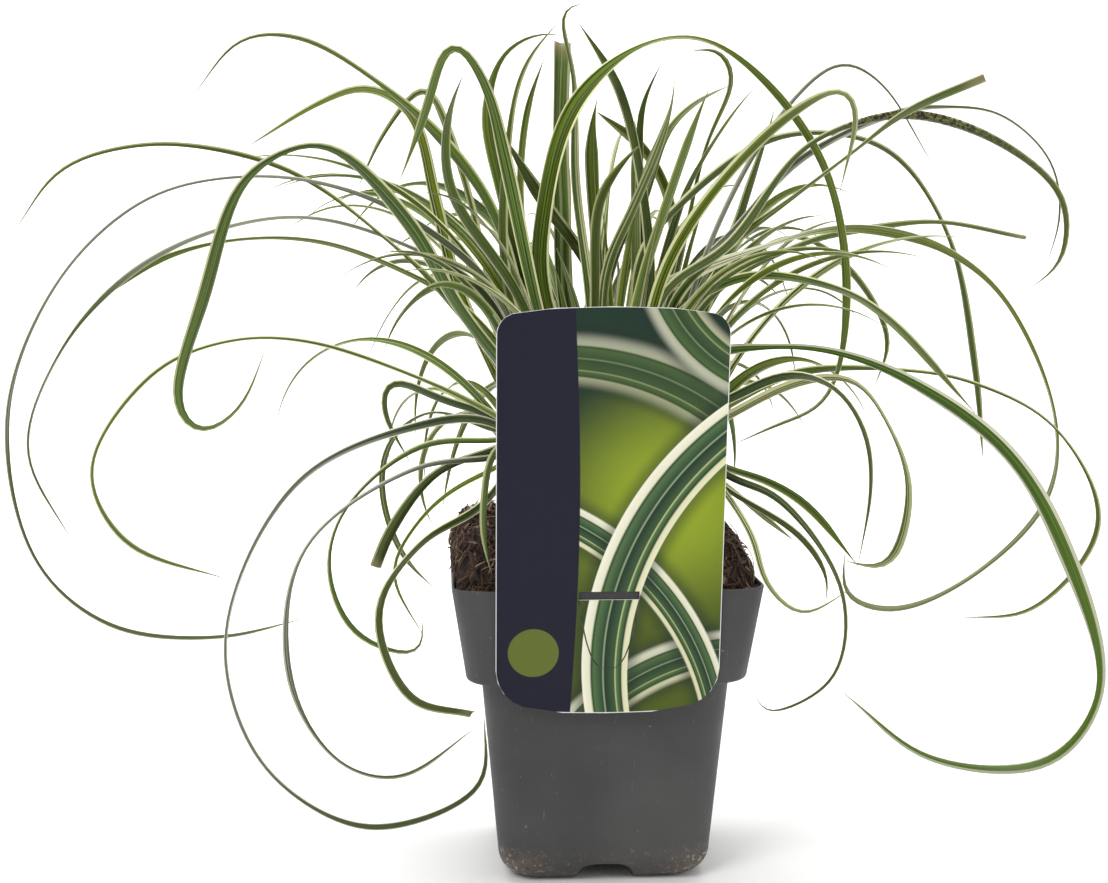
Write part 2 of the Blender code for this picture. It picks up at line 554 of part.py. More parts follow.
def blade_width(share, width, cut_end):
    """Width along a blade: folded at the root, widest at a third, and drawn out to the tip."""
    opening = 0.55 + 0.45 * min(1.0, share / 0.22)
    taper = 1.0 if cut_end else max(0.0, 1 - share ** 2.6) ** 0.9
    return max(TIP_WIDTH, width * opening * taper)


def blade_rings(curve, width, roll, cut_end, grow=0.0):
    """Three-sided sections along a blade: two edges above and a keel below."""
    pieces = int(min(MOST_PIECES, max(LEAST_PIECES, round(turned(curve) / TURN_PER_PIECE) + 2)))
    spine, shares = even_points(curve, pieces, PARTING)
    reach = spine[np.argmax(np.linalg.norm(spine[:, :2] - spine[0, :2], axis=1))] - spine[0]
    outward = np.array((reach[0], reach[1], 0.0)) / max(math.hypot(reach[0], reach[1]), 1e-6)
    across = np.cross(outward, UP)
    rings = []
    for i, (point, share) in enumerate(zip(spine, shares)):
        tangent = spine[min(i + 1, pieces)] - spine[max(i - 1, 0)]
        tangent /= np.linalg.norm(tangent)
        side = across - tangent * (across @ tangent)
        side /= np.linalg.norm(side)
        upper = np.cross(side, tangent)
        angle = roll * min(1.0, share / ROLL_FULL)
        edge = side * math.cos(angle) + upper * math.sin(angle)
        face = upper * math.cos(angle) - side * math.sin(angle)
        half = blade_width(share, width, cut_end) / 2
        keel = max(KEEL_LEAST, 2 * half * BLADE_KEEL) + 2 * grow
        half += grow
        rings.append((point + edge * half + face * keel * 0.4, point - edge * half + face * keel * 0.4,
                      point - face * keel * 0.6))
    return rings


def triangles(faces):
    return [(face[0], face[i], face[i + 1]) for face in faces for i in range(1, len(face) - 1)]


def tree(rings):
    """A search tree of a blade's triangles, with its box."""
    points = [tuple(point) for ring in rings for point in ring]
    spread = np.array(points)
    mesh = BVHTree.FromPolygons(points, triangles(skin(rings)), all_triangles=True)
    return mesh, spread.min(0), spread.max(0)


def beyond(curve, reach):
    return bool((np.abs(curve).max(axis=0) > reach).any())


def blocked(points, half_width):
    """Whether a curve runs into the floor, the pot, the soil or the label's place."""
    label_front = label_point(0, LABEL_LENGTH, LABEL_THICK)
    for i, (x, y, z) in enumerate(points):
        if z < LOWEST_LEAF_Z + half_width:
            return True
        if i > 2 and max(abs(x), abs(y)) < RIM_HALF + half_width:
            low = soil_height(x, y) if max(abs(x), abs(y)) < RIM_HALF - 2 * MM else POT_HEIGHT
            if z < low + half_width * 0.6 + 1.5 * MM:
                return True
        beside = abs(x - LABEL_X) > LABEL_WIDTH / 2 + half_width + 0.5 * MM
        along = (z - LABEL_FOOT_Z) / math.cos(LABEL_LEAN)
        behind = y > label_point(0, along, 0)[1] + half_width + 1.0 * MM
        above = z > label_front[2] + 4 * MM
        if not (beside or behind or above):
            return True
    return False


class Crown:
    """The shoots and the blades placed on them so far."""

    def __init__(self):
        self.places = shoot_places()
        self.blades = [[] for _ in self.places]
        self.trees = []
        self.upper_trees = []
        for shoot, (x, y) in enumerate(self.places):
            self.trees.append((shoot, *tree(shoot_rings(x, y, BLADE_GAP))))

    def nearest(self, direction, central):
        """Shoots in the order in which a leaf that goes that way could grow from them."""
        order = sorted(range(1, len(self.places)), key=lambda i: -float(np.dot(direction, self.places[i])))
        return [0] + order[:4] if central else order[:4] + [0]

    def root(self, shoot):
        count = len(self.blades[shoot])
        angle = ROOT_TURN * count
        spread = min(ROOT_SPREAD, (1.5 + 0.9 * count) * MM)
        x, y = self.places[shoot]
        return np.array((x + spread * math.cos(angle), y + spread * math.sin(angle), ROOT_Z))

    def free(self, shoot, rings, placed_trees, own):
        """Whether rings miss what was placed on other shoots or, if own is set, on this one."""
        mesh, low, high = tree(rings)
        for other, placed, other_low, other_high in placed_trees:
            if (other == shoot) != own or (low > other_high).any() or (high < other_low).any():
                continue
            if mesh.overlap(placed):
                return False
        return True

    def add(self, shoot, name, curve, width, roll, cut_end, loose):
        """Place a blade if it is clear; unless loose is set, it also clears its own shoot's blades."""
        if beyond(curve, PLANT_REACH) or blocked(even_points(curve, 40)[0], width / 2):
            return False
        wide = blade_rings(curve, width, roll, cut_end, BLADE_GAP)
        if not self.free(shoot, wide, self.trees, False):
            return False
        if not loose and not self.free(shoot, wide[1:], self.upper_trees, True):
            return False
        rings = blade_rings(curve, width, roll, cut_end)
        self.trees.append((shoot, *tree(rings)))
        self.upper_trees.append((shoot, *tree(rings[1:])))
        self.blades[shoot].append((name, rings))
        return True


def shoot_rings(x, y, grow=0.0):
    """The sheathed foot of a shoot, from its hole in the soil up to where its leaves part."""
    radius = SHOOT_RADIUS + grow
    rings = [round_ring(x, y, radius * 0.9, SHOOT_FOOT_Z, SHOOT_SIDES),
             round_ring(x, y, radius, SHOOT_FOOT_Z + 3 * MM, SHOOT_SIDES)]
    for share, size in ((0.0, 1.0), (0.45, 0.97), (0.85, 0.84), (1.0, 0.55)):
        lean = SHEATH_SPLAY * share / RING_RADIUS
        rings.append(round_ring(x + (x - CROWN_X) * lean, y + y * lean, radius * size,
                                SHEATH_FOOT_Z + SHEATH_HEIGHT * share, SHOOT_SIDES))
    return rings


def filler_roll(index):
    """How far a far-side blade turns its face aside, alternating and spread evenly."""
    share = (index * GOLDEN_SHARE) % 1.0
    return math.radians(ROLL_LEAST + ROLL_SPREAD * share) * (1 if index % 2 else -1)


def place_read_leaves(crown):
    missed = []
    for index, (name, (width, lean, back, route)) in enumerate(LEAVES.items()):
        furthest = max(route, key=lambda place: abs(place[0] - PICTURE_AXIS))
        side = 1 if furthest[0] > PICTURE_AXIS else -1
        central = name.startswith(("upright", "cut_top"))
        turn = math.radians(lean)
        direction = RIGHT[:2] * side * math.cos(turn) + AWAY[:2] * math.sin(turn)
        full_width = min(WIDEST_BLADE, width * MM / SEEN_SHARE)
        roll = math.asin(min(1.0, width * MM / full_width)) * (1 if index % 2 else -1)
        tries = [(shoot, lean + d, back + b, loose) for loose in (False, True)
                 for shoot in crown.nearest(direction, central) for b in BACK_TRIES for d in LEAN_TRIES]
        for shoot, lean_now, back_now, loose in tries:
            if abs(lean_now) > MOST_LEAN:
                continue
            curve = lift_route(crown.root(shoot), lean_now, back_now, route)
            if crown.add(shoot, name, curve, full_width, roll, name.startswith("cut"), loose):
                break
        else:
            missed.append(name)
    if missed:
        raise RuntimeError("no clear place for " + ", ".join(missed))


def place_fillers(crown):
    draw = random.Random(FILLER_SEED)
    placed = 0
    for count, compass_range, rise_range, length_range, turn_range in FILLERS:
        for number in range(count):
            for attempt in range(FILLER_ATTEMPTS):
                share = (number + draw.random()) / count
                compass = math.radians(compass_range[0] + share * (compass_range[1] - compass_range[0]))
                rise = math.radians(draw.uniform(*rise_range))
                length = draw.uniform(*length_range) * MM
                turn = math.radians(draw.uniform(*turn_range))
                drift = draw.uniform(-FILLER_DRIFT, FILLER_DRIFT)
                width = draw.uniform(*FILLER_WIDTH) * MM
                direction = np.array((math.cos(compass), math.sin(compass)))
                central = compass_range[1] - compass_range[0] > 180
                shoot = draw.choice(crown.nearest(direction, central)[:2])
                curve = arched_route(crown.root(shoot), compass, rise, length, turn, drift)
                if beyond(curve, FILLER_REACH):
                    continue
                if crown.add(shoot, "filler", curve, width, filler_roll(placed), False, attempt > LOOSE_AFTER):
                    placed += 1
                    break


def make_shoots(crown):
    """One body for each shoot: its foot, with every blade that grows from it joined on."""
    for number, (x, y) in enumerate(crown.places):
        rings = shoot_rings(x, y)
        points = [point for ring in rings for point in ring]
        material = finish(f"leaf_green_{number}", "63752f", 0.5)
        shoot = solid(f"leaf_shoot_{number}", points, skin(rings), material)
        shoot.data = join(shoot, crown.blades[number], random.Random(NUDGE_SEEDS[number]))


def join(shoot, blades, draw):
    """The mesh of a shoot's foot with its blades joined on, each nudged by less than can be seen."""
    loose = bpy.data.collections.new("loose_blades")
    bpy.context.scene.collection.children.link(loose)
    for name, blade in blades:
        nudge = np.array([draw.uniform(-NUDGE, NUDGE) for _ in range(3)])
        points = [point + nudge for ring in blade for point in ring]
        part = solid(name, points, triangles(skin(blade)), shoot.data.materials[0])
        bpy.context.scene.collection.objects.unlink(part)
        loose.objects.link(part)
    modifier = shoot.modifiers.new("join", "BOOLEAN")
    modifier.operation = "UNION"
    modifier.operand_type = "COLLECTION"
    modifier.collection = loose
    modifier.solver = "MANIFOLD"
    view = bpy.context.evaluated_depsgraph_get()
    joined = bpy.data.meshes.new_from_object(shoot.evaluated_get(view))
    shoot.modifiers.clear()
    for part in list(loose.objects):
        bpy.data.objects.remove(part, do_unlink=True)
    bpy.data.collections.remove(loose)
    keep_one_body(joined)
    return joined


def keep_one_body(mesh):
    """Drop loose scraps and the skins of sealed hollows."""
    shape = bmesh.new()
    shape.from_mesh(mesh)
    bmesh.ops.triangulate(shape, faces=shape.faces)
    groups = []
    waiting = set(shape.faces)
    while waiting:
        group = {waiting.pop()}
        front = list(group)
        while front:
            face = front.pop()
            for side in face.edges:
                if len(side.link_faces) != 2:
                    continue
                for other in side.link_faces:
                    if other in waiting:
                        waiting.remove(other)
                        group.add(other)
                        front.append(other)
        groups.append(group)
    groups.sort(key=len)
    for group in groups[:-1]:
        bmesh.ops.delete(shape, geom=list(group), context="FACES")
    shape.to_mesh(mesh)
    shape.free()


def main():
    clear_scene()
    make_pot()
    make_soil()
    make_label()
    crown = Crown()
    place_read_leaves(crown)
    place_fillers(crown)
    make_shoots(crown)


main()
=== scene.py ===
"""Looks of a variegated sedge in its square nursery pot, with a plant label that hangs on the rim."""
import math
import random
from functools import partial

import bpy
import numpy as np
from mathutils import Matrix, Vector, noise
from mathutils.bvhtree import BVHTree


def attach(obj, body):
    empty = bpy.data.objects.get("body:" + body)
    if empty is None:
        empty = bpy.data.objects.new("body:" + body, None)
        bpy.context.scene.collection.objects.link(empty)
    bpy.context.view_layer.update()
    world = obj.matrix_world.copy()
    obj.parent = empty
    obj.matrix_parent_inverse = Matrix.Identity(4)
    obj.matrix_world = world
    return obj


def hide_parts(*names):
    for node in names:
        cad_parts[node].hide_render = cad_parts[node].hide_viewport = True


bl_info = {
    "name": "Potted sedge",
    "version": (1, 0, 0),
    "blender": (4, 5, 0),
    "location": "3D View > Sidebar > Sedge",
    "description": "Dresses the model of a potted sedge: leaves, compost, pot, label and stage",
    "category": "Add Mesh",
}

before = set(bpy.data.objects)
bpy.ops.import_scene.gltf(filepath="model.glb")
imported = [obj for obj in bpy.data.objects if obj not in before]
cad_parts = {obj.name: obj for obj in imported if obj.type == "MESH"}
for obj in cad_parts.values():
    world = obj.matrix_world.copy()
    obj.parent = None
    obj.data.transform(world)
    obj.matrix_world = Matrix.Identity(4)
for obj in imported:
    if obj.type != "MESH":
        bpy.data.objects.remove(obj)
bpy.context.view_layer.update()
BODY = "root"
MM = 0.001
GAP = 0.3 * MM          # between pieces that touch

# Pot: a square tub with a deep collar
RIM_HALF = 65.8 * MM
POT_HEIGHT = 130 * MM
RIM_CORNER = 16 * MM
COLLAR_FOOT_HALF = 59.4 * MM
COLLAR_FOOT_Z = 90 * MM
BODY_TOP_HALF = 53.0 * MM
BODY_FOOT_HALF = 45.8 * MM
BODY_FOOT_Z = 13 * MM
POT_WALL = 1.4 * MM
POT_INNER_HALF = RIM_HALF - POT_WALL
FOOT_ROUND = 12 * MM    # radius of the edge under the body
FOOT_CORNER = 14 * MM
FOOT_STEPS = 12
CORNER_STEPS = 14
POT_FLOOR_Z = 7.5 * MM
STEP_CORNER = 14.5 * MM     # under the collar
STEP_DROP = 3 * MM
STEP_INSET = 0.3 * MM
STEP_ROUND = 1.6 * MM
COLLAR_CORNER = 15 * MM
COLLAR_ROUND = 2.6 * MM
DRAIN_RADIUS = 4.5 * MM
DRAIN_FROM_AXIS = 27 * MM
DRAIN_SIDES = 28
RIM_WAVE = 1.1 * MM
RIM_WAVE_LENGTH = 26 * MM
CREASE = math.radians(32)   # edges sharper than this stay sharp

# The notch in the middle of each side, and its roof: mm from the axis, height, and share of its width
NOTCH_TOP = 8.0 * MM
NOTCH_FOOT = 14.5 * MM
NOTCH_STEPS = 28
NOTCH_ROOF = ((-70, 8.8, 1.0), (-42.5, 8.2, 1.0), (-36, 5.4, 0.85),
              (36, 5.4, 0.85), (42.5, 8.2, 1.0), (70, 8.8, 1.0))

# Soil: a peaty block that stands above the rim
SOIL_RISE = 23 * MM     # above the rim, at the crown
SOIL_LUMP = 1.5 * MM
# How sharply its left and right sides stand up, in the solid and here
SHOULDERS = ((9, 30), (5, 11))
COMPOST_HALF = POT_INNER_HALF - GAP - 0.6 * MM
COMPOST_CORNER = 14 * MM
COMPOST_RINGS = 64
COMPOST_CORNER_STEPS = 12
COMPOST_SIDE_STEPS = 26
# Half widths and heights of its sides inside the pot
COMPOST_LEVELS = (
    (BODY_FOOT_HALF - 7.4 * MM, POT_FLOOR_Z + GAP),
    (BODY_FOOT_HALF - 4.6 * MM, POT_FLOOR_Z + 2.4 * MM),
    (BODY_FOOT_HALF - POT_WALL - 0.5 * MM, BODY_FOOT_Z + 4.2 * MM),
    (BODY_TOP_HALF - POT_WALL - 0.5 * MM, COLLAR_FOOT_Z + 0.4 * MM),
    (COLLAR_FOOT_HALF - POT_WALL - 0.5 * MM, COLLAR_FOOT_Z + 1.7 * MM),
    (RIM_HALF - POT_WALL - 1.0 * MM, POT_HEIGHT - 4 * MM),
)
# Lumps and crumbs on its top: how wide and how high
CRUMB_SIZES = ((13 * MM, 2.2 * MM), (3.6 * MM, 0.8 * MM), (1.6 * MM, 0.45 * MM))
SLOPE_STEP = 1.5 * MM   # over which the top's slope is measured

# Litter: torn bark and coir that lie on the soil, with least, most and usual sizes in mm
COMPOST_SEED = 12
LITTER_EDGE = 0.99      # share of the soil's half width that it reaches
LITTER_SQUARE = 8       # how square its outline is
LITTER_MIDDLE = 0.35    # how thickly it lies in the middle; at the edge it is 1
LITTER_RISE = 0.9       # mm that it may stand off the ground
LEFT_EDGE = -0.8        # share of the half width beyond which the steep left side bulges
LEFT_BULGE = 2.6        # mm that it may stand off there as well
STEEPEST = 0.25         # upward part of the steepest slope that is strewn evenly
TILT = 0.25
STRAND_LENGTH = (3, 13, 5.5)
STRAND_WIDTH = (0.35, 2.2, 0.7)
STRAND_THICK = (0.4, 1.0)
STRAND_ARCH = 0.12      # most that it arches, for each unit of length
STRAND_LEVELS = 5
FIBRE_LENGTH = (5, 18, 8)
FIBRE_THICK = (0.25, 0.45)
FIBRE_BEND = 1.2
FIBRE_ARCH = 0.12
FIBRE_LEVELS = 9
TAN_SHARE = 0.82        # the share of bark that isn't tan
# A splinter's section: shares of half its width and of half its thickness
SPLINTER_SECTION = ((-1, -0.3), (0, -1), (1, -0.4), (0.7, 0.6), (-0.6, 1))

# Label: a plastic plate that leans on the collar, with a tab over the rim and a die-cut tongue under its slit
LABEL_WIDTH = 93 * MM
LABEL_LENGTH = 172 * MM
LABEL_THICK = 0.6 * MM
LABEL_LEAN = math.radians(9.4)
LABEL_X = -1.0 * MM
LABEL_FOOT_Z = 77.5 * MM
LABEL_REST_Z = COLLAR_FOOT_Z + 4 * MM   # where it touches the collar
LABEL_TOP_CORNER = 9 * MM
LABEL_FOOT_CORNER = 17 * MM
LABEL_BOW = 2.4 * MM
SLIT_WIDTH = 25 * MM
SLIT_HEIGHT = 4.2 * MM
TONGUE_DEPTH = 30 * MM
TONGUE_STEPS = 48
TONGUE_LINE = 0.3 * MM

# Label print, in mm from the plate's middle and from its foot
PRINT_MARGIN = 0.3
PANEL_EDGE = -15.5
PRINT_DISC = (-31.0, 27.0, 10.5)
PRINT_GLOW = (24.0, 92.0)
# Printed blades: each between two circles, with the first one's place and radius, how far the second one's
# centre is off, how much larger it is, and how soft the edge is
PRINT_BLADES = (
    (-25, 38, 104, 6, 5, 13, 3.0),
    (82, 204, 58, -5, -4, 12, 2.2),
    (60, -64, 84, -4, 5, 11, 1.4),
    (-72, -24, 114, 3, 5, 8, 0.5),
    (132, 18, 124, -7, 4, 12, 0.2),
)
PRINT_STRIPES = (
    (0.0, "e2dfc0"), (1.0, "efedda"), (0.11, "d9d8ae"), (0.14, "273b2c"), (0.24, "53703f"), (0.27, "b9c08c"),
    (0.29, "3c5636"), (0.50, "1d3129"), (0.53, "93a47c"), (0.56, "2b4434"), (0.74, "4f6c40"), (0.79, "22372c"),
    (0.83, "e0dfc2"),
)

# Crown: shoots stand in a ring round one in the middle
CROWN_X = 3 * MM
RING_SHOOTS = 8
RING_RADIUS = 24 * MM
SHOOT_RADIUS = 8.0 * MM
SHOOT_SIDES = 10
SHOOT_FOOT_Z = POT_HEIGHT + 6 * MM
SHEATH_FOOT_Z = POT_HEIGHT + SOIL_RISE + 3 * MM
SHEATH_HEIGHT = 29 * MM     # how far the rolled leaf bases stand above the soil
SHEATH_SPLAY = 6 * MM       # how far a sheath of the ring leans out over that height
SHEATH_TAPER = ((0.0, 1.0), (0.45, 0.97), (0.85, 0.84), (1.0, 0.55))    # shares of its height and radius
FOOT_SHARE = 0.9            # of the radius, at the very foot
FOOT_TAPER = 3 * MM         # over this height
ROOT_Z = SHEATH_FOOT_Z - 2 * MM
SHEATH_POINTS = 36
SHEATH_LEVELS = 14
SHEATH_LEAVES = 5           # folded leaf bases that wrap round each other in a sheath
SHEATH_WIND = 1.4           # turns of a leaf base that they wind up the sheath

# Leaf blades
BLADE_KEEL = 0.24       # depth of the keel for each unit of width
EDGE_RISE = 0.4         # share of the depth by which its edges stand above its spine
KEEL_DROP = 0.6         # and its keel below
KEEL_LEAST = 0.8 * MM
TIP_WIDTH = 1.2 * MM
BLADE_GAP = 0.4 * MM    # kept between the blades of different shoots
ROLL_LEAST = 18         # degrees that a far-side blade turns its face aside
ROLL_SPREAD = 34
ROLL_FULL = 0.12        # share of its length in which a blade turns that far
SEEN_SHARE = 0.72       # of a blade's width that its turned face shows
WIDEST_BLADE = 9 * MM
GOLDEN_SHARE = 0.618    # of a turn, which spreads a row of blades evenly
ROOT_TURN = 2.4         # radians between the roots of one shoot's blades
ROOT_SPREAD = 6.0 * MM
TURN_PER_PIECE = 18.5   # degrees that one straight piece of a blade stands for
LEAST_PIECES = 6
MOST_PIECES = 15
PLANT_REACH = (238.5 * MM, 162 * MM, 378 * MM)  # furthest from the origin along each axis
LOWEST_LEAF_Z = 9 * MM
PARTING = 31 * MM       # from its root, a blade parts from those of its own shoot
FOOT_WIDTH = 0.55       # share of its width that a blade has at its root
OPENED_WIDTH = 0.45     # share that it gains where it opens
OPENING = 0.22          # share of its length in which it opens
TAPER_ONSET = 2.6       # how late it starts to taper
TAPER_POINT = 0.9       # how sharply it ends
# How far leaves stay off the soil, the label's side, back and top
SOIL_CLEAR = 1.5 * MM
SIDE_CLEAR = 0.5 * MM
BACK_CLEAR = 1.0 * MM
TOP_CLEAR = 4 * MM

# How the leaves are made finer than the solids: widths across a blade where its skin has points, and mm
FACE_SHARES = (-1.0, -0.68, -0.34, 0.0, 0.34, 0.68, 1.0)
FINE_TIP = 0.3 * MM
EDGE_THINNING = 0.6     # share of its thickness that a blade loses towards its margins
FULL_THICK_WIDTH = 2.2 * MM     # narrower blades are thinner
FOLD_CURVE = 1.35       # how round the fold is
FOOT_LENGTH = 0.2       # share of its length in which the fold opens
FOOT_FOLD = 0.9         # how much deeper the fold is at the foot of a blade
FLUTTER = math.radians(7)
FLUTTER_LENGTH = 95 * MM
WILD_FLUTTER = 2.2      # how much more the leaves without a route twist
ROUTE_STEPS = 10        # points that the smooth route has for each of its places
SEEN_LEAST = 0.7 * MM
TWIST_LEAST = 0.3
TWIST_MOST = 0.97
TIP_LENGTH = 26 * MM    # over which a leaf draws out to its tip
TIP_SHARE = 0.16        # of its length, if that is less
TIP_POINT = 0.8
LOOK_SEED = 5
STRIPED_SHARE = 0.3

# The front picture that the leaf routes are read in: units across and down, and the eye that sees it
PICTURE_FOCUS = 1852.0
PICTURE_CENTRE = (554.0, 441.5)
PICTURE_AXIS = 598.5    # where the pot's axis shows
EYE_DISTANCE = 815 * MM
EYE_HEIGHT = 266 * MM
EYE_TURN = math.radians(3.5)
EYE_DIP = math.radians(5.65)
RIGHT = np.array((math.cos(EYE_TURN), -math.sin(EYE_TURN), 0.0))
AWAY = np.array((math.sin(EYE_TURN), math.cos(EYE_TURN), 0.0))
UP = np.array((0.0, 0.0, 1.0))
EYE_SIDE = (PICTURE_CENTRE[0] - PICTURE_AXIS) / PICTURE_FOCUS * EYE_DISTANCE
EYE = RIGHT * EYE_SIDE - AWAY * EYE_DISTANCE + UP * EYE_HEIGHT

